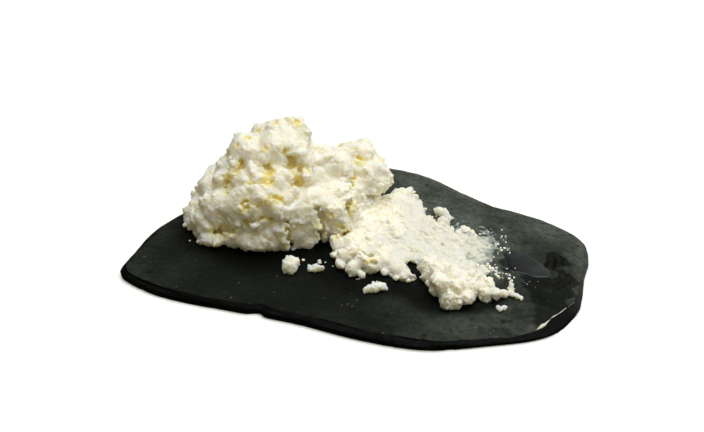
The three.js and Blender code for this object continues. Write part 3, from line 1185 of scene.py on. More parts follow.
    boulders: tuple[Lump, ...] = (
        (240, 198, 10.0, 1.6), (238, 212, 9.0, 1.2), (214, 196, 11.0, 1.4), (210, 211, 10.0, 1.4),
        (226, 206, 9.0, 1.0), (305, 233, 8.0, 1.8), (322, 178, 9.0, 1.2), (322, 196, 9.0, 1.2),
        (311, 196, 7.0, 1.8), (250, 154, 8.0, 1.8), (264, 157, 7.0, 1.8), (372, 178, 10.0, 1.4),
        (358, 186, 8.0, 1.2), (380, 166, 8.0, 1.0), (345, 158, 8.0, 0.8), (300, 138, 10.0, 0.6),
        (284, 134, 10.0, 0.6), (268, 136, 9.0, 0.6), (336, 212, 8.0, 1.2), (225, 240, 7.0, 1.2),
        (222, 163, 9.0, 0.4), (233, 150, 10.0, 0.4), (245, 138, 10.0, 0.4), (256, 128, 9.0, 0.4),
        (266, 124, 8.0, 0.4), (278, 122, 9.0, 0.3), (206, 184, 9.0, 0.4),
    )
    knobs: tuple[Lump, ...] = (
        (219, 178, 5.0, 1.8), (236, 163, 3.0, 0.8), (240, 179, 6.0, 2.4), (247, 185, 4.0, 2.0),
        (252, 171, 4.5, 2.2), (257, 179, 4.5, 2.0), (256, 193, 5.0, 2.4), (262, 199, 4.0, 2.0),
        (285, 172, 3.6, 2.2), (277, 176, 3.0, 1.4), (281, 185, 5.0, 2.2), (287, 196, 3.5, 1.8),
        (297, 192, 3.0, 1.8), (308, 176, 4.5, 2.4), (302, 156, 5.0, 2.6), (310, 160, 6.0, 1.4),
        (240, 155, 6.0, 0.8), (243, 146, 3.0, 0.7), (253, 143, 4.0, 0.6), (263, 142, 4.5, 1.0),
        (273, 207, 5.0, 1.8), (281, 210, 4.0, 1.6), (303, 213, 5.0, 1.8), (312, 214, 4.0, 1.8),
        (315, 224, 3.5, 1.8), (245, 214, 3.0, 1.2), (278, 228, 5.0, 1.8), (284, 238, 5.0, 1.5),
        (258, 226, 4.0, 1.4), (256, 212, 4.5, 1.2), (290, 212, 5.0, 1.6), (272, 190, 4.5, 1.6),
        (230, 160, 4.0, 0.5), (262, 122, 6.0, 0.6), (285, 121, 6.0, 0.8),
        (297, 122, 7.0, 1.4), (290, 120, 6.0, 1.2), (325, 149, 7.0, 2.6), (334, 151, 7.0, 2.0),
        (200, 214, 6.0, 1.0), (205, 229, 5.0, 1.4), (293, 146, 4.0, 1.2), (276, 146, 4.0, 1.0),
        (195, 200, 5.0, 1.0), (204, 184, 5.0, 0.8), (352, 150, 5.0, 1.0), (366, 150, 5.0, 1.0),
    )
    pits: tuple[Ball, ...] = (
        (241, 163, 1.8), (241, 168, 2.4), (236, 172, 2.4), (231, 172, 1.8), (229, 177, 2.0), (228, 182, 1.8),
        (227, 188, 1.3), (228, 193, 1.4), (269, 166, 2.4), (270, 172, 3.0), (267, 178, 2.8), (270, 183, 2.6),
        (266, 185, 1.8), (251, 184, 1.6), (287, 152, 2.0), (290, 158, 2.6), (292, 165, 2.6), (299, 170, 2.2),
        (306, 171, 2.0), (295, 177, 2.4), (298, 182, 2.8), (292, 185, 1.6), (246, 201, 1.6), (243, 204, 1.6),
        (247, 207, 1.6), (242, 211, 1.6), (262, 217, 1.5), (248, 221, 2.2), (270, 219, 1.5), (257, 206, 1.2),
        (275, 199, 2.2), (268, 201, 2.0), (281, 199, 1.6), (258, 132, 1.8), (248, 138, 1.4), (265, 149, 1.5),
        (275, 122, 2.2), (297, 123, 1.6), (237, 147, 1.2), (229, 155, 1.4),
        (360, 160, 2.4), (383, 159, 1.6), (354, 179, 1.4), (350, 186, 1.4), (443, 244, 1.4),
        (354, 256, 2.8), (360, 254, 2.6), (346, 234, 2.8), (369, 257, 2.6), (372, 262, 2.4), (364, 269, 1.8),
        (332, 216, 1.5), (341, 226, 1.6), (336, 237, 1.6), (340, 144, 2.2),
    )
    caves: tuple[Ball, ...] = (
        (216, 231, 3.0), (222, 230, 3.6), (229, 231, 3.0), (234, 228, 1.8), (287, 222, 1.8), (287, 230, 2.4),
        (288, 238, 2.6), (289, 245, 2.6), (318, 209, 2.6), (320, 214, 3.2), (321, 220, 3.2), (322, 227, 3.0),
        (322, 233, 2.4), (319, 238, 2.8), (320, 245, 3.0), (352, 206, 2.8), (351, 211, 2.2), (411, 266, 3.2),
        (415, 274, 2.6),
    )
    clefts: tuple[Ball, ...] = (
        (290, 241, 1.3), (291, 244, 2.0), (293, 248, 2.4), (289, 249, 1.8), (297, 249, 1.8), (302, 250, 1.8),
        (319, 237, 1.8), (319, 240, 2.0), (318, 243, 2.4), (322, 243, 2.4), (317, 247, 2.6), (325, 246, 2.6),
    )
    cleft_height: float = 15.0

    def past_seam(self, x: Array, y: Array) -> Array:
        """Distance past the upright plane where the mound and the spread meet."""
        heading = math.radians(self.seam_heading)
        return (x - self.seam_point[0]) * math.cos(heading) + (y - self.seam_point[1]) * math.sin(heading)

    def spread(self, block: DistanceBlock, floor: float) -> Array:
        """Distances to the low bed: a pad with a ragged outline, rounded off at its edge.

        Its height falls along the board. From the edge in, it rises like a quarter of a circle.

        Args:
            block: The block that the bed goes in.
            floor: Height of the slate.

        Returns:
            One distance for each lattice point.
        """
        x, y, z = block.places()
        flat = list(np.broadcast_arrays(x[:, :, 0], y[:, :, 0]))
        edge = outline_distance(*flat, self.view.at_height(np.array(self.bed, float), floor + 1.0)[:, :2])
        edge = edge + 1.2 * rough(flat, 5.5, 51, 2) + 0.8 * wobble(flat, 1.9, 53)
        places, heights = np.array(self.bed_heights).T
        crown = np.interp(flat[0], places, heights) * (1.0 + 0.22 * rough(flat, 13.0, 57, 2))
        share = np.clip(-edge / (0.8 + 1.3 * crown), 0.0, 1.0)
        height = crown * np.sqrt(1.0 - (1.0 - share) ** 2)
        return np.maximum(z - (floor + height[:, :, None]), 0.8 * edge[:, :, None])

    def flatness(self, points: Array, floor: float) -> Array:
        """Share from 0 to 1 that a place is on the flat of the spread."""
        past = smooth_step(0.0, 12.0, self.past_seam(points[:, 0], points[:, 1]))
        return past * smooth_step(floor + 8.0, floor + 6.0, points[:, 2])

    def nearness(self, points: Array, places: Array, sizes: Array) -> Array:
        """Share from 0 to 1 that points lie in the middle of any of some round spots.

        Args:
            points: Points in millimetres, one row each.
            places: Middles of the spots.
            sizes: Radius of each spot.

        Returns:
            One share for each point.
        """
        gaps = np.linalg.norm(points[:, None, :] - places[None, :, :], axis=2) / sizes
        return smooth_step(1.25, 0.8, gaps.min(axis=1))

    def core(self, block: DistanceBlock, even: Sequence[Array]) -> DistanceBlock:
        """The mound filled out with its swells and its brow, and softened.

        Args:
            block: Block round the mound's solid, changed in place.
            even: Coordinates of every lattice point.

        Returns:
            The softened copy.
        """
        places = np.array([place for place, _ in self.swells])
        sizes = np.array([size for _, size in self.swells])
        block.fuse_balls(places, sizes, np.ones_like(places), self.core_welds[0], even, self.even_slack)
        block.values = block.blurred(self.core_blurs[0])
        _, middles, sizes = self.proud(block, self.brow)
        block.fuse_balls(middles, sizes, np.ones_like(middles), self.core_welds[1], even, self.even_slack)
        return DistanceBlock(block.low, block.step, block.blurred(self.core_blurs[1]))

    def seen(self, skin: DistanceBlock, spots: Sequence[tuple[float, ...]]) -> tuple[Array, Array]:
        """Places on a skin that pixels of the photograph show.

        Args:
            skin: Block that holds the skin.
            spots: Rows that start with a pixel.

        Returns:
            Places, and unit vectors that point out of the skin there.
        """
        ways = self.view.rays(np.array([spot[:2] for spot in spots], float))
        near, far = self.view.distance - self.search[0], self.view.distance + self.search[1]
        places = skin.met(self.view.eye(), ways, near, far)
        return places, skin.outward(places)

    def proud(self, skin: DistanceBlock, spots: Sequence[Lump]) -> tuple[Array, Array, Array]:
        """Lumps that stand out of a skin where pixels of the photograph show them.

        Args:
            skin: Block that holds the skin.
            spots: Pixel, radius, and how far out each lump stands.

        Returns:
            Places on the skin, middles of the lumps, and radii.
        """
        places, outward = self.seen(skin, spots)
        sizes = np.array([spot[2:] for spot in spots])
        return places, places - outward * (sizes[:, :1] - sizes[:, 1:]), sizes[:, 0]

    def clump(self, block: DistanceBlock, plain: DistanceBlock, space: Sequence[Array],
              rng: np.random.Generator) -> tuple[Array, Array]:
        """Cover the skin with random lumps, and set the photograph's boulders and knobs among them.

        Random lumps keep off the middles of the boulders. None stands out past the cover, which is lower on
        the mound and lowest at its front.

        Args:
            block: Block that holds the skin, changed in place.
            plain: The block that it grows from.
            space: Pushed coordinates of every lattice point.
            rng: Source of the random draws.

        Returns:
            Places and radii of the boulders.
        """
        x, y, _ = block.places()
        mound = 1.0 - smooth_step(-self.seam_blend, self.seam_blend, self.past_seam(x, y))
        back = self.view.back()
        forward = (x * back[0] + y * back[1]) / math.hypot(back[0], back[1])
        front = mound * smooth_step(*self.front_band, forward)
        large, middles, sizes = self.proud(plain, self.boulders)
        for size, side in ((self.clumps, -1.0), (self.bed_clumps, 1.0)):
            centres, radii, stretch = size.lumps(block, rng)
            own = side * self.past_seam(centres[:, 0], centres[:, 1]) > -self.overlap
            own &= self.nearness(centres, large, self.clear_reach * sizes) < 0.5
            block.fuse_balls(centres[own], radii[own], stretch[own], size.weld, space, self.push)
        on_mound, at_front = self.cover_falls
        cover = plain.values - self.cover + on_mound * mound + at_front * front
        np.maximum(block.values, cover, out=block.values)
        stretch = rng.uniform(*self.boulder_stretch, middles.shape)
        block.fuse_balls(middles, sizes, stretch, self.boulder_weld, space, self.push)
        _, middles, radii = self.proud(plain, self.knobs)
        stretch = rng.uniform(*self.stretch, middles.shape)
        block.fuse_balls(middles, radii, stretch, self.knob_weld, space, self.push)
        return large, sizes

    def heap_stones(self, block: DistanceBlock, floor: float, mild: Sequence[Array],
                    rng: np.random.Generator) -> tuple[Array, Array]:
        """Set the photograph's stones on the slate.

        Args:
            block: Block that holds the skin, changed in place.
            floor: Height of the slate.
            mild: Mildly pushed coordinates of every lattice point.
            rng: Source of the random draws.

        Returns:
            Places and radii of the bulky ones.
        """
        spots = np.array(self.stones, float)
        places = self.view.at_height(spots[:, :2], floor + spots[:, 2])
        bulky = spots[:, 3] > self.bulky
        stretch = rng.uniform(*self.stretch, places.shape)
        for chosen, weld in zip((bulky, ~bulky), self.stone_welds):
            block.fuse_balls(places[chosen], spots[chosen, 3], stretch[chosen], weld, mild, self.push)
        return places[bulky], spots[bulky, 3]

    def hollow_out(self, block: DistanceBlock, plain: DistanceBlock,
                   space: Sequence[Array]) -> list[tuple[Array, float]]:
        """Cut the pits and the caves: pits as shallow dishes, caves further in.

        Args:
            block: Block that holds the skin, changed in place.
            plain: The block that it grew from.
            space: Pushed coordinates of every lattice point.

        Returns:
            Place and radius of each hollow.
        """
        spots = self.pits + self.caves
        places, _ = self.seen(block, spots)
        radii = np.array([spot[2] for spot in spots])
        dish = np.arange(len(radii)) < len(self.pits)
        lift = np.where(dish, self.dish_lift * radii, -self.cave_depth)
        middles = places + plain.outward(places) * lift[:, None]
        cut = np.where(dish, self.dish_widening * radii, radii + self.cave_widening)
        block.carve_balls(middles, cut, space, self.pit_slack)
        return list(zip(places, radii))

    def grown(self) -> Growth:
        """The heap with all its curds.

        The core is drawn in and covered with lumps. The photograph's stones, hollows and clefts follow, and
        then curds and grains all over, fewer of them on large calm lumps and on the flat of the spread.

        Returns:
            The finished heap.
        """
        rng = np.random.default_rng(self.seed)
        block = DistanceBlock.round_nodes(
            ["ricotta_mound"], self.step, self.margin, self.band, ["ricotta_spread"],
        )
        floor = slate_top()
        even = [np.broadcast_to(place, block.values.shape) for place in block.places()]
        plain = self.core(block, even)
        space, mild = (block.warped(waves, self.wave_seed) for waves in (self.waves, self.mild_waves))
        block.values = plain.values + self.gap
        bed = self.spread(block, floor)
        for part in (block, plain):
            part.fuse_field(bed, self.bed_weld)
        large, sizes = self.clump(block, plain, space, rng)
        lumps, lump_sizes = self.heap_stones(block, floor, mild, rng)
        hollows = self.hollow_out(block, plain, space)
        gaps = np.array(self.clefts, float)
        for height in np.arange(0.0, self.cleft_height):
            block.carve_balls(self.view.at_height(gaps[:, :2], floor + height), gaps[:, 2], mild, self.push)
        calm_spots = ((large, self.calm_reach * sizes), (lumps, lump_sizes))
        rows = (
            (self.curds, space, self.push, self.calm_curds),
            (self.grains, even, self.even_slack, self.calm_grains),
        )
        for size, bounds, slack, shares in rows:
            centres, radii, stretch = size.lumps(block, rng)
            flat = self.flatness(centres, floor)
            bare = self.flat_bare * flat
            for share, (places, reach) in zip(shares, calm_spots):
                bare = np.maximum(bare, share * self.nearness(centres, places, reach))
            kept = rng.uniform(0.0, 1.0, len(radii)) > bare
            radii = radii * (1.0 - self.flat_shrink * flat)
            block.fuse_balls(centres[kept], radii[kept], stretch[kept], size.weld, bounds, slack)
        block.values += self.grit_height * block.uneven(self.grit_size, self.grit_seed)
        np.maximum(block.values, (floor - self.sink) - even[2], out=block.values)
        return Growth(block, plain, block.blurred(1.5), hollows)

    def dress(self, name: str, node: str, growth: Growth, values: Array, finish: Material) -> Piece:
        """One piece of the heap as a mesh with its marks and its finish.

        Args:
            name: Name of the piece.
            node: CAD node that the piece stands for.
            growth: The grown heap.
            values: Its distances, cut to this piece.
            finish: Material of the curd.

        Returns:
            The piece.
        """
        points, faces = growth.block.skin(values)
        piece = mesh_piece(name, points, faces)
        points = thinned(piece, self.most_faces / sum(len(part) * (part.shape[1] - 2) for part in faces))
        depth = growth.block.at(points, growth.round_off)
        sunk = growth.plain.at(points)
        # painted warm shade: hollow tints the creases pale yellow; near and patchy tint the curd round the
        # broken hollows and in deep places gold
        hollow = np.maximum(smooth_step(0.35, -0.8, depth), smooth_step(-0.5, -2.4, sunk))
        near = np.zeros(len(points), np.float32)
        for place, size in growth.hollows:
            away = np.linalg.norm(points - place, axis=1)
            near = np.maximum(near, smooth_step(size + 2.8, size - 1.0, away))
        patches = smooth_step(-0.05, 0.45, rough(list(points.T.astype(np.float32)), 17.0, 71, 2))
        patchy = 0.45 * patches * smooth_step(-0.3, -1.2, depth)
        past = self.past_seam(points[:, 0], points[:, 1])
        seam = self.seam_shallow * smooth_step(12.0, 4.0, np.abs(past))
        mark_points(piece, Mark.HOLLOW, hollow)
        mark_points(piece, Mark.GOLD_SHADE, np.maximum(near * smooth_step(1.4, -0.2, depth), patchy))
        mark_points(piece, Mark.SHALLOW, np.maximum(seam, self.bed_shallow * (past > 0.0)))
        mark_points(piece, Mark.WET, self.flatness(points, slate_top()))
        piece.data.materials.append(finish)
        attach(piece, "root")
        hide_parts(node)
        log.info("%s: %d points, %d faces", name, len(points), len(piece.data.polygons))
        return piece

    def build(self, finish: Material) -> list[Piece]:
        """The heap in two pieces that reach into each other, each a little sunk where the other shows.

        Args:
            finish: Material of the curd.

        Returns:
            The mound and the spread.
        """
        growth = self.grown()
        x, y, _ = growth.block.places()
        past = self.past_seam(x, y)
        pieces = []
        sides = (("ricotta_heap", "ricotta_mound", 1.0), ("ricotta_bed", "ricotta_spread", -1.0))
        for name, node, side in sides:
            sunk = self.seam_gap * smooth_step(-0.2 * side, 0.8 * side, past)
            values = np.maximum(growth.block.values + sunk, side * past - self.overlap)
            pieces.append(self.dress(name, node, growth, values, finish))
        return pieces


@dataclass
class LooseCurds:
    """Curds that lie apart on the slate, each a few lumps grown over with finer grains.

    Attributes:
        view: The photograph's camera, which places the lumps.
        stones: For each node, its lumps: pixel, height of the middle over the slate, and radius.
        step: Fineness of the distance blocks.
        margin: Free space in them round the solids.
        band: Distance that stands for far from the skin.
        seed: Seed of the random draws.
        stretch: Least and most stretch of a lump.
        weld: Width of the soft joint of the lumps.
        curds: Curds on the lumps.
        grains: Grains on the curds.
        waves: Size and push of the waves that make lumps uneven.
        wave_seed: Seed of the waves.
        push: Furthest that the waves push a lump, with room to spare.
        sink: How far the curds reach into the slate's relief.
    """

    view: PhotoView = PhotoView()
    stones: tuple[tuple[str, tuple[Lump, ...]], ...] = (
        ("loose_curd_1", (
            (290, 264, 4.2, 4.6), (285, 267, 2.4, 2.2), (296, 262, 4.4, 2.2), (292, 270, 2.0, 2.2),
        )),
        ("loose_curd_2", (
            (310, 268, 1.6, 1.6), (316, 268, 1.8, 2.0), (322, 268, 1.6, 1.6), (319, 262, 3.6, 1.2),
        )),
        ("loose_curd_3", (
            (365, 290, 1.5, 1.7), (370, 289, 1.7, 2.0), (375, 288, 1.8, 2.1), (380, 287, 1.9, 2.2),
            (384, 287, 1.5, 1.6),
        )),
        ("loose_curd_4", (
            (437, 211, 2.0, 2.0), (440, 212, 2.4, 2.5), (444, 214, 2.5, 2.6), (447, 217, 2.2, 2.2),
            (449, 220, 1.4, 1.3),
        )),
        ("loose_curd_5", (
            (497, 307, 0.8, 1.1), (501, 309, 0.9, 1.2), (505, 308, 1.2, 1.2),
        )),
    )
    step: float = 0.4
    margin: float = 4.0
    band: float = 5.0
    seed: int = 19
    stretch: Spot = (0.9, 1.12)
    weld: float = 1.4
    curds: Crumbling = Crumbling(2.2, (0.5, 1.1), (0.45, 0.9), 0.5)
    grains: Crumbling = Crumbling(1.5, (0.35, 0.65), (0.4, 0.9), 0.3)
    waves: tuple[Spot, ...] = ((3.0, 0.5), (1.4, 0.2))
    wave_seed: int = 81
    push: float = 1.2
    sink: float = 0.5

    def build(self, finish: Material) -> Piece:
        """All loose curds as one piece.

        Args:
            finish: Material of the curd.

        Returns:
            The piece.
        """
        rng = np.random.default_rng(self.seed)
        points: list[Array] = []
        faces: list[Array] = []
        hollows: list[Array] = []
        start = 0
        floor = slate_top()
        for node, lumps in self.stones:
            block = DistanceBlock.round_nodes([node], self.step, self.margin, self.band)
            block.values = np.full_like(block.values, self.band)
            space = block.warped(self.waves, self.wave_seed)
            spots = np.array(lumps)
            places = self.view.at_height(spots[:, :2], floor + spots[:, 2])
            stretch = rng.uniform(*self.stretch, places.shape)
            block.fuse_balls(places, spots[:, 3], stretch, self.weld, space, self.push)
            for size in (self.curds, self.grains):
                block.fuse_balls(*size.lumps(block, rng), size.weld, space, self.push)
            np.maximum(block.values, floor - self.sink - block.places()[2], out=block.values)
            skin, parts = block.skin(block.values)
            points.append(skin)
            faces += [part + start for part in parts]
            # painted warm shade: the hollow mark tints the creases pale yellow
            hollows.append(smooth_step(0.2, -0.6, block.at(skin, block.blurred(1.0))))
            start += len(skin)
        piece = mesh_piece("loose_curds", np.concatenate(points), faces)
        mark_points(piece, Mark.HOLLOW, np.concatenate(hollows))
        mark_points(piece, Mark.GOLD_SHADE, np.zeros(start))
        piece.data.materials.append(finish)
        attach(piece, "root")
        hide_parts(*[node for node, _ in self.stones])
        log.info("loose curds: %d points", start)
        return piece


@dataclass(frozen=True)
class RimMark:
    """A chip in the board's rim or a parting between its layers.

    Attributes:
        x: Place along the board.
        y: Place across the board.
        half_length: Half its length along the rim.
        depth: How far in it reaches, or how far out where it is negative.
        height: Height of a parting, as a share of the thickness.
    """

    x: float
    y: float
    half_length: float
    depth: float
    height: float = 0.0


@dataclass
class SlateBoard:
    """The naturally split board: a polar surface over the solid's own outline, with broken layers at one
    corner.

    Attributes:
        headings: Number of directions from the middle.
        flat_rings: Number of rings of points on the flat of the top face.
        bevel_rings: Number of rings from there to the arris.
        side_rings: Number of rings down the side.
        bevel_width: Distance from the rim where the closer rings start.
        crisp_heading: Direction in which the arris is crispest, in degrees from +X.
        broken_heading: Direction of the corner with the broken layers, in degrees from +X.
        layers: Number of broken layers.
        layer_spacing: Distance from the end of one layer to that of the next.
        layer_height: Thickness of a layer.
        chips: Chips in the rim, and fuller places of it.
        slopes: Places where the arris lies further in.
        dark_patches: Dark patches by the pool: place, and radius.
        soaked_and_painted_shade: Outline round the heap's front; inside it and close outside it, the top face
            is painted black as shade.
        partings: Partings between the layers of the side.
        wave_height: Height of the top face's shallow waves.
        grain_height: Height of its grain.
        wrinkle_depth: Depth of the furrows by the pool.
        wrinkle_middle: Middle of the oval that they lie in.
        wrinkle_span: Half length and half width of that oval.
        damp_middle: Middle of the damp, glossy oval of the top face.
        damp_span: Half length and half width of it.
    """

    headings: int = 760
    flat_rings: int = 40
    bevel_rings: int = 52
    side_rings: int = 20
    bevel_width: float = 34.0
    crisp_heading: float = 235.0
    broken_heading: float = -17.0
    layers: int = 6
    layer_spacing: float = 3.4
    layer_height: float = 0.26
    chips: tuple[RimMark, ...] = (
        RimMark(-40.0, -84.0, 4.0, 3.0),
        RimMark(127.0, 8.0, 12.0, 1.8),
        RimMark(131.0, -24.0, 12.0, -1.6),
        RimMark(-130.0, -30.0, 26.0, -2.6),
        RimMark(-128.0, -72.0, 14.0, -2.4),
        RimMark(-50.0, -84.0, 40.0, -2.4),
        RimMark(10.0, -86.0, 26.0, -1.8),
        RimMark(88.0, -72.0, 24.0, 2.4),
    )
    slopes: tuple[RimMark, ...] = (
        RimMark(127.0, -38.0, 20.0, 6.5),
    )
    dark_patches: tuple[Ball, ...] = (
        (108.0, 13.0, 5.0), (106.0, -10.0, 6.0), (116.0, 1.0, 5.0), (110.0, -22.0, 6.0),
        (119.0, -26.0, 6.0), (80.0, 3.0, 4.0), (84.0, -6.0, 4.0), (118.0, -12.0, 6.0),
        (107.0, 7.0, 4.0), (100.0, -16.0, 6.0), (112.0, -33.0, 6.0), (115.0, -39.0, 5.0),
        (119.0, -33.0, 4.0), (123.0, -2.0, 5.0), (123.0, -14.0, 4.0), (106.0, 18.0, 4.0),
        (112.0, 15.0, 4.0), (98.0, -9.0, 4.0),
    )
    soaked_and_painted_shade: tuple[Spot, ...] = (
        (-110.0, -12.0), (-98.0, -32.0), (-80.0, -40.0), (-60.0, -41.0), (-32.0, -31.0), (-14.0, -36.0),
        (5.0, -43.0), (24.0, -41.0), (40.0, -38.0), (54.0, -50.0), (70.0, -46.0), (80.0, -38.0),
        (60.0, -24.0), (20.0, -10.0), (-10.0, 10.0), (-40.0, 40.0), (-80.0, 45.0), (-108.0, 20.0),
    )
    partings: tuple[RimMark, ...] = (
        RimMark(-112.0, -82.0, 15.0, 3.0, 0.72),
        RimMark(8.7, -84.0, 11.0, 1.8, 0.78),
        RimMark(51.5, -82.0, 11.0, 1.6, 0.7),
    )
    wave_height: float = 0.15
    grain_height: float = 0.045
    wrinkle_depth: float = 0.7
    wrinkle_middle: Spot = (112.0, -4.0)
    wrinkle_span: Spot = (13.0, 30.0)
    damp_middle: Spot = (108.0, -10.0)
    damp_span: Spot = (26.0, 40.0)

    def __post_init__(self) -> None:
        """Read the outline of the solid and work out how the edge runs."""
        self.thickness = slate_top()
        self.turns = np.arange(self.headings) * FULL_TURN / self.headings
        reaches = self.outline()
        rim = [np.cos(self.turns) * reaches, np.sin(self.turns) * reaches]
        bites = 0.5 * smooth_step(0.0, 0.9, rough(rim, 8.0, 151, 3))
        for chip in self.chips:
            bites = bites + chip.depth * self.bell(rim, chip)
        self.reaches = reaches - bites
        crisp = smooth_step(-0.2, 0.5, np.cos(self.turns - math.radians(self.crisp_heading)))
        self.arris = 2.8 + 1.6 * crisp + 1.2 * rough(rim, 14.0, 153, 3)
        for slope in self.slopes:
            self.arris = self.arris + slope.depth * self.bell(rim, slope)
        self.arris_height = self.thickness * (0.80 + 0.13 * crisp) - 0.3 * (1.0 + rough(rim, 6.0, 155, 2))
        self.ease = 11.0 - 6.0 * crisp
        self.rim = rim

    def bell(self, rim: Sequence[Array], mark: RimMark) -> Array:
        """Share from 0 to 1 that a mark has at each place of the rim."""
        return np.exp(-((np.hypot(rim[0] - mark.x, rim[1] - mark.y) / mark.half_length) ** 2))

    def outline(self) -> Array:
        """Furthest reach of the solid in each direction.

        Every edge of the solid, seen from above, is met by a ray from the middle in each direction, and the
        furthest crossing is kept.

        Returns:
            Reaches in millimetres.
        """
        points, triangles = node_triangles("slate_board")
        start = points[triangles][:, :, :2].reshape(-1, 2)
        end = points[np.roll(triangles, -1, axis=1)][:, :, :2].reshape(-1, 2)
        along = end - start
        reaches = np.zeros(self.headings)
        for number, turn in enumerate(self.turns):
            ray = np.array([math.cos(turn), math.sin(turn)])
            cross = ray[0] * along[:, 1] - ray[1] * along[:, 0]
            safe = np.where(np.abs(cross) < 1e-9, np.nan, cross)
            share = (ray[1] * start[:, 0] - ray[0] * start[:, 1]) / safe
            distance = (start[:, 0] * along[:, 1] - start[:, 1] * along[:, 0]) / safe
            met = (share >= 0.0) & (share <= 1.0) & (distance > 0.0)
            reaches[number] = distance[met].max()
        return reaches

    def on_rim(self, values: Array, turn: Array) -> Array:
        """Values that are known for each heading, in straight steps between the headings."""
        return np.interp(turn, self.turns, values, period=FULL_TURN)

    def top_height(self, x: Array, y: Array) -> Array:
        """Height of the board's top face.

        From the full thickness it falls to the arris by an eased curve, and everywhere by the relief and
        by the broken layers. Past the arris it follows the swell of the side down to half its height.

        Args:
            x: Places along the board.
            y: Places across the board.

        Returns:
            Heights in millimetres.
        """
        turn = np.arctan2(y, x)
        inset = self.on_rim(self.reaches, turn) - np.hypot(x, y)
        arris = self.on_rim(self.arris, turn)
        share = np.clip((inset - arris) / self.on_rim(self.ease, turn), 0.0, 1.0)
        fall = (self.thickness - self.on_rim(self.arris_height, turn)) * (1.0 - share) ** 2.2
        height = self.thickness - fall - self.relief(x, y) - self.broken(inset, turn, x, y)
        beyond = 0.5 - 0.5 * np.clip(inset / arris, 0.0, 1.0) ** (2.0 / 3.0)
        return np.maximum(height, 0.4 * self.thickness) * (1.0 - beyond)

    def relief(self, x: Array, y: Array) -> Array:
        """Depth of the top face's shallow waves, its grain and its wrinkles by the pool.

        Args:
            x: Places along the board.
            y: Places across the board.

        Returns:
            Depths in millimetres.
        """
        waves = self.wave_height * (1.0 + rough([x, y], 40.0, 121, 2))
        grain = self.grain_height * (1.0 + rough([x, 1.6 * y], 6.0, 131, 3))
        return waves + grain + self.wrinkle_depth * self.wrinkles(x, y)

    def wrinkles(self, x: Array, y: Array) -> Array:
        """Share from 0 to 1 of the bent furrows beside the pool, deepest in their middle lines.

        Args:
            x: Places along the board.
            y: Places across the board.

        Returns:
            One share for each place.
        """
        apart = oval_reach(x, y, self.wrinkle_middle, self.wrinkle_span)
        bent = x + 2.5 * wobble([x, y], 13.0, 141) + 0.012 * (y - 4.0) ** 2
        places = smooth_step(1.15, 0.5, apart) * smooth_step(-0.3, 0.4, rough([x, y], 9.0, 143, 2))
        return places * (0.5 + 0.5 * np.sin(1.35 * bent))

    def broken(self, inset: Array, turn: Array, x: Array, y: Array) -> Array:
        """Depth of the layers that are broken off along one corner of the board.

        Each layer ends at its own inset from the rim, which wanders, and outside it the face is lower by
        the height of one layer.

        Args:
            inset: Distance in from the rim.
            turn: Direction from the middle, in radians.
            x: Place along the board.
            y: Place across the board.

        Returns:
            Depths in millimetres.
        """
        share = smooth_step(0.80, 0.95, np.cos(turn - math.radians(self.broken_heading)))
        wander = rough([x, y], 15.0, 101, 3)
        depth = np.zeros_like(inset)
        for layer in range(self.layers):
            own = rough([x, y], 11.0, 103 + layer, 3)
            reach = 3.2 + self.layer_spacing * layer + 3.0 * wander + 4.0 * own
            depth = depth + self.layer_height * (1.0 - smooth_step(-0.25, 0.25, inset - reach))
        return depth * share

    def lightness(self, x: Array, y: Array) -> Array:
        """Share from 0 to 1 that the face is the paler grey, as painted sheen: most at the back right, least
        at the front.

        Args:
            x: Places along the board.
            y: Places across the board.

        Returns:
            One share for each place.
        """
        # painted sheen: paler towards the back right, the front right and the left end
        across = smooth_step(-70.0, 70.0, y) * smooth_step(-90.0, 70.0, x)
        front = 0.39 * smooth_step(10.0, 75.0, x) * smooth_step(30.0, -30.0, y)
        left = 0.1 * smooth_step(-60.0, -110.0, x) + 0.14 * smooth_step(-108.0, -126.0, x)
        broad = 0.35 * rough([0.6 * x, 1.4 * y], 18.0, 175, 3)
        clouds = 1.0 + broad + 0.25 * rough([0.5 * x, 2.0 * y], 6.0, 177, 2)
        turn = np.arctan2(y, x)
        inset = self.on_rim(self.reaches, turn) - np.hypot(x, y)
        # painted highlight along the back rim
        edge = 0.5 * smooth_step(8.0, 3.0, inset) * smooth_step(0.2, 0.8, np.cos(turn - math.radians(50.0)))
        return np.clip((0.07 + 0.97 * across + front + left + edge) * clouds, 0.0, 1.0)

    def shade(self, x: Array, y: Array) -> Array:
        """Share from 0 to 1 that the top face is black: in dark patches by the pool, darkest along the
        furrows as painted shade, and as painted shade before the heap.

        Args:
            x: Places along the board.
            y: Places across the board.

        Returns:
            One share for each place.
        """
        in_dark_patches = sum(np.exp(-(np.hypot(x - px, y - py) / size) ** 2) for px, py, size in self.dark_patches)
        dark = smooth_step(0.35, 0.65, in_dark_patches + 0.75 * rough([x, 1.6 * y], 7.0, 179, 3))
        # painted shade: the patches are darkest along the furrows' deepest lines
        dark = dark * (0.78 + 0.22 * smooth_step(0.1, 0.6, self.wrinkles(x, y)))
        # painted shade: black before the heap, where its shadow falls
        away = outline_distance(x, y, np.array(self.soaked_and_painted_shade)) + 5.0 * rough([x, y], 14.0, 181, 2)
        return np.maximum(dark, 0.92 * smooth_step(25.0 - 0.12 * np.clip(x, 0.0, 80.0), 6.0, away))

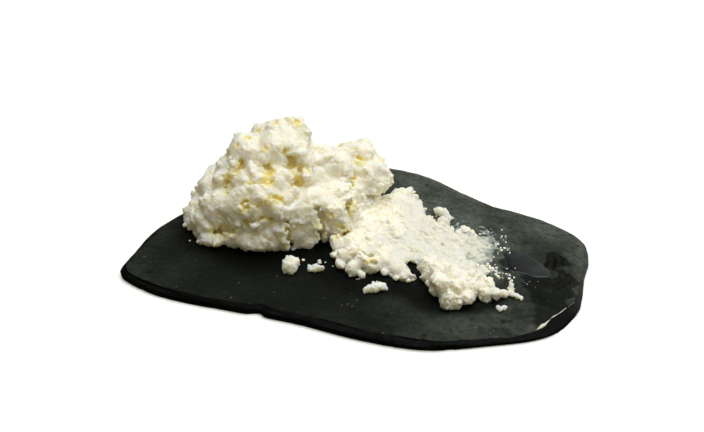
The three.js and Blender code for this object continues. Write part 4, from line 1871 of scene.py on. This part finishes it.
    def side(self, arris_height: Array) -> tuple[Array, Array]:
        """Insets and heights of the rings that run from the arris down to the underside.

        The side swells out to the rim half way down and draws in again below. Fine layers, drawn out along
        the rim, and the partings set it back.

        Args:
            arris_height: Height of the arris at each heading.

        Returns:
            Insets and heights, ring by ring.
        """
        share = np.linspace(0.0, 1.0, self.side_rings + 1)[1:, None]
        swell = np.where(share < 0.5, self.arris * np.clip(1.0 - 2.0 * share, 0.0, 1.0) ** 1.5, 0.0)
        tuck = 0.9 * np.clip(2.0 * share - 1.0, 0.0, 1.0) ** 2
        height = arris_height * (1.0 - share)
        steps = [np.diff(axis, append=axis[0]) for axis in self.rim]
        along = np.broadcast_to(np.cumsum(np.hypot(*steps)), height.shape)
        leaf = rough([along / 22.0, height / 0.9], 1.0, 161, 2)
        corner = sum(self.bell(self.rim, slope) for slope in self.slopes)
        setback = (0.55 + 1.6 * corner) * smooth_step(-0.2, 0.6, leaf) * np.sin(math.pi * share) ** 0.5
        for parting in self.partings:
            level = np.exp(-(((height / self.thickness - parting.height) / 0.11) ** 2))
            setback = setback + parting.depth * self.bell(self.rim, parting) * level
        return swell + tuck + setback, height

    def build(self, finish: Material) -> Piece:
        """The board as one closed piece.

        Rings run from the middle of the top face out to the arris, down the side and back in under the board.

        Args:
            finish: Material of the slate.

        Returns:
            The piece.
        """
        flat = np.linspace(0.02, 1.0, self.flat_rings, endpoint=False)[:, None] ** 0.85
        bevel = np.linspace(1.0, 0.0, self.bevel_rings)[:, None] ** 1.6
        inner = (self.reaches - self.bevel_width) * flat
        outer = self.reaches - self.arris - (self.bevel_width - self.arris) * bevel
        radius = np.concatenate([inner, outer])
        x, y = radius * np.cos(self.turns), radius * np.sin(self.turns)
        upper = np.stack([x, y, self.top_height(x, y)], axis=-1)
        inset, height = self.side(upper[-1, :, 2])
        ring = self.reaches - inset
        side = np.stack([ring * np.cos(self.turns), ring * np.sin(self.turns), height], axis=-1)
        base = side[-1] * np.array([1.0, 1.0, 0.0]) * np.array([0.97, 0.8, 0.5, 0.2])[:, None, None]
        rings = np.concatenate([upper, side, base]).reshape(-1, 3)
        poles = np.array([[0.0, 0.0, upper[0, :, 2].mean()], [0.0, 0.0, 0.0]])
        points = np.concatenate([rings, poles])
        piece = mesh_piece("slate", points, closed_faces(len(rings) // self.headings, self.headings, True))
        axes = list(points.T.astype(np.float32))
        damp = oval_reach(axes[0], axes[1], self.damp_middle, self.damp_span)
        mark_points(piece, Mark.WET, smooth_step(1.25, 0.6, damp + 0.4 * rough(axes[:2], 9.0, 171, 3)))
        mark_points(piece, Mark.PAINTED_SHEEN_AND_TONE, self.lightness(axes[0], axes[1]))
        # painted shade: the side and underside are black except towards the back right, where the light
        # falls; the top face takes the painted shade below
        dim = 1.0 - 0.8 * smooth_step(0.6, 0.95, np.cos(np.arctan2(axes[1], axes[0]) - math.radians(36.0)))
        top = len(upper.reshape(-1, 3))
        dim[:top] = self.shade(axes[0][:top], axes[1][:top])
        mark_points(piece, Mark.PAINTED_SHADE, dim)
        piece.data.materials.append(finish)
        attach(piece, "root")
        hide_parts("slate_board")
        log.info("slate: %d points, %d faces", len(points), len(piece.data.polygons))
        return piece


@dataclass
class Whey:
    """Whey on the slate: a shallow pool by the film, and a milk-white bead along a broken layer that is a
    painted highlight.

    Attributes:
        middle: Middle of the pool.
        half_sizes: Half its length and half its width.
        heading: Direction of its length, in degrees from +X.
        pool_height: Its height over the slate in the middle.
        pool_lift: Its height over the slate at its edge.
        pool_columns: Number of points round it.
        pool_rings: Number of rings of points in it.
        bead: Pixels of the photograph that the bead follows.
        bead_level: Height of the slate under the bead.
        bead_half_width: Half its greatest width.
        bead_height: Its greatest height.
        bead_steps: Number of sections along it.
        bead_sides: Number of points in a section.
        view: The photograph's camera, which places the bead.
    """

    view: PhotoView = PhotoView()
    middle: Spot = (92.5, 4.0)
    half_sizes: Spot = (17.0, 8.0)
    heading: float = -27.0
    pool_height: float = 0.6
    pool_lift: float = 0.15
    pool_columns: int = 96
    pool_rings: int = 22
    bead: tuple[Spot, ...] = (
        (537, 328), (545, 323), (552, 316), (560, 311), (568, 305), (575, 300),
    )
    bead_level: float = 4.8
    bead_half_width: float = 1.0
    bead_height: float = 0.8
    bead_steps: int = 90
    bead_sides: int = 14

    def pool(self, board: SlateBoard) -> tuple[Array, list[Array]]:
        """Points and faces of the pool.

        In polar terms about its middle, an oval with a wandering outline; its height over the slate falls
        from the middle by the fourth power of the share of the way out.

        Args:
            board: The board that it lies on.

        Returns:
            Points, and faces.
        """
        turn = np.arange(self.pool_columns) * FULL_TURN / self.pool_columns
        share = np.linspace(0.05, 1.0, self.pool_rings)[:, None]
        outline = 1.0 + 0.3 * rough([9.0 * np.cos(turn), 9.0 * np.sin(turn)], 6.0, 211, 2)
        along = self.half_sizes[0] * share * outline * np.cos(turn)
        across = self.half_sizes[1] * share * outline * np.sin(turn)
        heading = math.radians(self.heading)
        x = self.middle[0] + along * math.cos(heading) - across * math.sin(heading)
        y = self.middle[1] + along * math.sin(heading) + across * math.cos(heading)
        ground = board.top_height(x, y)
        level = ground.mean() + self.pool_lift
        height = level + (self.pool_height - self.pool_lift) * (1.0 - share**4)
        rim = np.stack([x[-1], y[-1], ground[-1] - 0.5], axis=-1)[None]
        rings = np.concatenate([np.stack([x, y, np.where(share < 1.0, height, ground - 0.1)], axis=-1), rim])
        top = np.array([[*self.middle, level + self.pool_height - self.pool_lift]])
        bottom = np.array([[*self.middle, level - 1.0]])
        faces = closed_faces(len(rings), self.pool_columns, True)
        return np.concatenate([rings.reshape(-1, 3), top, bottom]), faces

    def strand(self, board: SlateBoard) -> tuple[Array, list[Array]]:
        """Points and faces of the bead: an oval section along its path, thin at both ends.

        Args:
            board: The board that it lies on.

        Returns:
            Points, and faces.
        """
        share = np.linspace(0.0, 1.0, self.bead_steps)
        knots = self.view.at_height(np.array(self.bead, float), self.bead_level)[:, :2]
        spaced = np.linspace(0.0, 1.0, len(knots))
        x, y = (np.interp(share, spaced, knots[:, axis]) for axis in range(2))
        slope = np.stack([np.gradient(x), np.gradient(y)], axis=-1)
        slope = slope / np.linalg.norm(slope, axis=1, keepdims=True)
        blob = np.exp(-(((share - 0.12) / 0.09) ** 2))
        thread = 0.3 * np.clip(np.sin(math.pi * share), 0.0, 1.0) ** 0.5
        thread = thread * (0.8 + 0.8 * wobble([share * 100.0], 9.0, 221))
        swell = np.maximum(blob + thread, 0.05)[:, None]
        turn = np.arange(self.bead_sides) * FULL_TURN / self.bead_sides
        across = self.bead_half_width * swell * np.cos(turn)
        rise = self.bead_height * swell * np.sin(turn)
        px = x[:, None] + across * slope[:, 1:2]
        py = y[:, None] - across * slope[:, 0:1]
        pz = board.top_height(x, y)[:, None] + rise
        rings = np.stack([px, py, pz], axis=-1)
        ends = rings[[0, -1]].mean(axis=1)
        faces = closed_faces(self.bead_steps, self.bead_sides, False)
        return np.concatenate([rings.reshape(-1, 3), ends]), faces

    def build(self, board: SlateBoard, finish: Material, milk: Material) -> list[Piece]:
        """The pool and the bead.

        Args:
            board: The board that they lie on.
            finish: Material of the pool.
            milk: Material of the bead, whose white is a painted highlight.

        Returns:
            The two pieces.
        """
        pieces = [mesh_piece("whey_pool", *self.pool(board)), mesh_piece("painted_highlight_bead", *self.strand(board))]
        # painted highlight: the bead is milk-white all over
        mark_points(pieces[1], Mark.THICK, np.ones(len(pieces[1].data.vertices)))
        for piece, look in zip(pieces, (finish, milk)):
            piece.data.materials.append(look)
            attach(piece, "root")
            log.info("%s: %d faces", piece.name, len(piece.data.polygons))
        return pieces


@dataclass
class Crumbs:
    """Small crumbs strewn on the slate round the heap and past the film.

    Attributes:
        seed: Seed of the random draws.
        rows: Number of rings of points in a crumb.
        columns: Number of points in a ring.
        strewn: Groups of crumbs: middle, half length and half width, number, and size.
    """

    seed: int = 23
    rows: int = 7
    columns: int = 9
    strewn: tuple[tuple[float, float, float, float, int, float], ...] = (
        (78.0, 17.0, 7.0, 6.0, 18, 0.55),
        (79.0, -8.0, 7.0, 6.0, 20, 0.6),
        (98.0, -15.0, 5.0, 4.0, 5, 0.5),
        (67.0, 27.0, 9.0, 5.0, 14, 0.6),
        (72.0, 12.0, 6.0, 10.0, 16, 0.5),
        (-97.0, -38.0, 5.0, 3.0, 5, 1.0),
        (10.0, -40.0, 16.0, 4.0, 6, 0.6),
        (-30.0, -34.0, 12.0, 4.0, 4, 0.6),
        (36.0, 33.0, 12.0, 7.0, 8, 0.7),
        (70.0, -34.0, 14.0, 6.0, 5, 0.5),
        (49.5, 24.5, 4.5, 2.6, 26, 1.7),
        (55.5, 21.5, 4.0, 2.4, 18, 1.3),
        (63.0, 18.5, 6.0, 3.0, 26, 0.6),
        (70.0, 17.0, 5.0, 3.0, 12, 0.7),
        (72.0, -8.0, 4.0, 3.6, 18, 1.2),
        (82.0, -11.0, 7.0, 3.5, 24, 0.6),
    )

    def build(self, board: SlateBoard, finish: Material) -> Piece:
        """All crumbs as one piece.

        Each is a sphere in rows and columns whose radius wobbles with the direction, squashed a little and
        set into the slate by a third of its size.

        Args:
            board: The board that they lie on.
            finish: Material of the curd.

        Returns:
            The piece.
        """
        rng = np.random.default_rng(self.seed)
        spots = [
            np.stack([
                rng.normal(x, half_x * 0.6, count),
                rng.normal(y, half_y * 0.6, count),
                size * rng.uniform(0.35, 1.25, count) ** 1.5,
            ], axis=-1)
            for x, y, half_x, half_y, count, size in self.strewn
        ]
        spot = np.concatenate(spots)
        polar = np.linspace(0.0, math.pi, self.rows + 2)[1:-1]
        turn = np.arange(self.columns) * FULL_TURN / self.columns
        ring = np.stack([
            np.sin(polar)[:, None] * np.cos(turn),
            np.sin(polar)[:, None] * np.sin(turn),
            np.cos(polar)[:, None] * np.ones_like(turn),
        ], axis=-1).reshape(-1, 3)
        unit = np.concatenate([ring, [[0.0, 0.0, 1.0], [0.0, 0.0, -1.0]]])
        far_apart = np.arange(len(spot))[:, None] * 50.0
        places = np.broadcast_arrays(unit[:, 0] * 2.0 + far_apart, unit[:, 1] * 2.0, unit[:, 2] * 2.0)
        bumps = 1.0 + 0.38 * wobble(places, 1.0, 231)
        squash = rng.uniform(0.7, 1.35, (len(spot), 1, 3)) * np.array([1.0, 1.0, 0.75])
        body = unit[None] * bumps[:, :, None] * spot[:, 2][:, None, None] * squash
        ground = board.top_height(spot[:, 0], spot[:, 1]) + 0.3 * spot[:, 2]
        body = body + np.stack([spot[:, 0], spot[:, 1], ground], axis=-1)[:, None, :]
        first = np.arange(len(spot))[:, None, None] * len(unit)
        faces = [
            (part[None] + first).reshape(-1, part.shape[1])[:, ::-1]
            for part in closed_faces(self.rows, self.columns, False)
        ]
        points = body.reshape(-1, 3)
        piece = mesh_piece("crumbs", points, faces)
        for mark, value in ((Mark.HOLLOW, 0.0), (Mark.GOLD_SHADE, 0.0), (Mark.SHALLOW, 1.0)):
            mark_points(piece, mark, np.full(len(points), value))
        piece.data.materials.append(finish)
        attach(piece, "root")
        log.info("crumbs: %d", len(spot))
        return piece


@dataclass
class MilkFilm:
    """The thin milky film that the spread leaves on the slate, torn into lace at its edge.

    Attributes:
        low: Lowest corner of the room for it, along and across the board.
        high: Highest corner.
        under: How far under the slate's face the room reaches.
        over: How far over it.
        step: Fineness of its distance block.
        middle: Middle of its oval.
        reach: Half length and half width of the oval.
        thickness: Height over the slate in the middle.
        depth: How far it reaches into the slate.
    """

    low: Spot = (20.0, -30.0)
    high: Spot = (100.0, 44.0)
    under: float = 1.2
    over: float = 2.4
    step: float = 0.45
    middle: Spot = (51.0, 8.0)
    reach: Spot = (23.5, 23.0)
    thickness: float = 0.9
    depth: float = 0.5

    def build(self, finish: Material) -> Piece:
        """The film as one piece.

        Its height over the slate is an oval's ease from the middle out, torn by two sizes of wobble. Where
        that falls under nothing, the film has a hole.

        Args:
            finish: Material of the film.

        Returns:
            The piece.
        """
        floor = slate_top()
        low = np.array([*self.low, floor - self.under])
        shape = np.ceil((np.array([*self.high, floor + self.over]) - low) / self.step).astype(int)
        block = DistanceBlock(low, self.step, np.zeros(shape, np.float32))
        x, y, z = block.places()
        flat = list(np.broadcast_arrays(x[:, :, 0], y[:, :, 0]))
        oval = oval_reach(*flat, self.middle, self.reach)
        torn = 1.05 - oval + 0.42 * rough(flat, 7.0, 181, 2) + 0.28 * wobble(flat, 2.1, 191)
        height = self.thickness * np.sqrt(np.clip(torn, 0.0, 1.0)) - 1.4 * (torn < 0.0)
        height = height + 0.07 * rough(flat, 2.4, 201, 2)
        skin = np.maximum(z - (floor + height[:, :, None]), floor - self.depth - z)
        block.values = skin.astype(np.float32)
        points, faces = block.skin(block.values)
        piece = mesh_piece("milk_film", points, faces)
        cell = np.clip(((points[:, :2] - low[:2]) / self.step).astype(int), 0, np.array(torn.shape) - 1)
        mark_points(piece, Mark.THICK, smooth_step(0.05, 0.75, torn[cell[:, 0], cell[:, 1]]))
        piece.data.materials.append(finish)
        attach(piece, "root")
        log.info("milk film: %d points", len(points))
        return piece


@dataclass
class Studio:
    """White floor, a dim warm room with one bright wall, broad lights and the camera.

    Attributes:
        view: The photograph's camera.
        floor_reach: Half the floor's length, in metres.
        floor_drop: How far under the board the floor lies, in millimetres.
        floor_points: Number of points along a side of the floor.
        room_light: Strength of the room's light.
        room_tint: Its colour.
        wall_light: Strength of the bright wall's light.
        wall_tint: Its colour.
        wall_heading: Direction of the wall's middle, in degrees from +X.
        wall_rise: Height of the wall's middle, in degrees.
        wall_edge: Cosine of the angle from the wall's middle to its edge.
        wall_full: Cosine of the angle within which it is fully bright.
        lights: Name, direction, height and width in degrees, power, and tint of each light.
    """

    view: PhotoView = PhotoView()
    floor_reach: float = 4.0
    floor_drop: float = 0.05
    floor_points: int = 9
    room_light: float = 0.15
    room_tint: Colour = (1.0, 0.90, 0.56)
    wall_light: float = 0.8
    wall_tint: Colour = (1.0, 0.985, 0.94)
    wall_heading: float = 55.0
    wall_rise: float = 30.0
    wall_edge: float = 0.55
    wall_full: float = 0.95
    lights: tuple[tuple[str, float, float, float, float, Colour], ...] = (
        ("top_light", 80.0, 84.0, 50.0, 2.1, (0.985, 0.99, 1.0)),
        ("side_light", 10.0, 45.0, 40.0, 0.3, (1.0, 0.99, 0.97)),
        ("front_light", -55.0, 42.0, 90.0, 0.35, (1.0, 0.87, 0.56)),
    )

    def camera(self) -> Piece:
        """The camera at the photograph's angle, looking at the aim point.

        Returns:
            The camera.
        """
        data = bpy.data.cameras.new("camera")
        data.lens = self.view.lens
        data.sensor_width = self.view.sensor
        data.sensor_fit = "HORIZONTAL"
        data.clip_start = 0.01
        data.clip_end = 50.0
        camera = bpy.data.objects.new("camera", data)
        bpy.context.scene.collection.objects.link(camera)
        camera.location = Vector(self.view.eye()) * MM
        camera.rotation_euler = Vector(self.view.back()).to_track_quat("Z", "Y").to_euler()
        bpy.context.scene.camera = camera
        return camera

    def sun(self, name: str, turn: float, rise: float, width: float, power: float, tint: Colour) -> None:
        """One broad, even light from far away.

        Args:
            name: Name of the light.
            turn: Direction that it comes from, in degrees from +X.
            rise: Its height, in degrees.
            width: How wide it looks, in degrees.
            power: Strength in watts for each square metre.
            tint: Its colour.
        """
        data = bpy.data.lights.new(name, "SUN")
        data.angle = math.radians(width)
        data.energy = power
        data.color = tint
        level = math.cos(math.radians(rise))
        heading = math.radians(turn)
        towards = Vector((math.cos(heading) * level, math.sin(heading) * level, math.sin(math.radians(rise))))
        lamp = bpy.data.objects.new(name, data)
        lamp.location = towards
        lamp.rotation_euler = towards.to_track_quat("Z", "Y").to_euler()
        bpy.context.scene.collection.objects.link(lamp)

    def surroundings(self) -> None:
        """Light from all round: a dim warm room with one wide bright wall at the back right."""
        world = bpy.data.worlds.new("white_room")
        world.use_nodes = True
        nodes, links = world.node_tree.nodes, world.node_tree.links
        heading, rise = math.radians(self.wall_heading), math.radians(self.wall_rise)
        middle = (math.cos(heading) * math.cos(rise), math.sin(heading) * math.cos(rise), math.sin(rise))
        facing = nodes.new("ShaderNodeVectorMath")
        facing.operation = "DOT_PRODUCT"
        facing.inputs[1].default_value = middle
        links.new(nodes.new("ShaderNodeTexCoord").outputs["Generated"], facing.inputs[0])
        share = nodes.new("ShaderNodeMapRange")
        share.interpolation_type = "SMOOTHSTEP"
        share.inputs[1].default_value = self.wall_edge
        share.inputs[2].default_value = self.wall_full
        links.new(facing.outputs["Value"], share.inputs[0])
        blend = nodes.new("ShaderNodeMix")
        blend.data_type = "RGBA"
        links.new(share.outputs[0], blend.inputs[0])
        blend.inputs[6].default_value = (*(self.room_light * value for value in self.room_tint), 1.0)
        blend.inputs[7].default_value = (*(self.wall_light * value for value in self.wall_tint), 1.0)
        links.new(blend.outputs[2], nodes["Background"].inputs["Color"])
        bpy.context.scene.world = world
        view = bpy.context.scene.view_settings
        view.view_transform = "Standard"
        view.look = "None"
        view.exposure = 0.0

    def floor(self, finish: Material) -> None:
        """A wide level floor just under the board.

        Args:
            finish: Material of the floor.
        """
        reach = self.floor_reach / MM
        count = self.floor_points
        side = np.linspace(-reach, reach, count)
        x, y = np.meshgrid(side, side, indexing="ij")
        points = np.stack([x, y, np.full_like(x, -self.floor_drop)], axis=-1).reshape(-1, 3)
        row, column = np.meshgrid(np.arange(count - 1), np.arange(count - 1), indexing="ij")
        corner = row * count + column
        faces = np.stack([corner, corner + count, corner + count + 1, corner + 1], axis=-1).reshape(-1, 4)
        floor = mesh_piece("floor", points, [faces])
        floor.data.materials.append(finish)
        floor.visible_diffuse = False
        floor.visible_glossy = False

    def build(self, finish: Material) -> None:
        """Set up the camera, the lights and the floor.

        Args:
            finish: Material of the floor.
        """
        self.camera()
        self.surroundings()
        self.floor(finish)
        for light in self.lights:
            self.sun(*light)


def main() -> None:
    """Build the stage and then the pieces, from the slate up."""
    logging.basicConfig(level=logging.INFO, format="%(name)s: %(message)s")
    Studio().build(FloorFinish().material())
    curd = CurdFinish().material()
    board = SlateBoard()
    board.build(SlateFinish().material())
    RicottaHeap().build(curd)
    LooseCurds().build(curd)
    milk = MilkFinish().material()
    MilkFilm().build(milk)
    Whey().build(board, WheyFinish().material(), milk)
    Crumbs().build(board, curd)


if __name__ == "__main__":
    main()
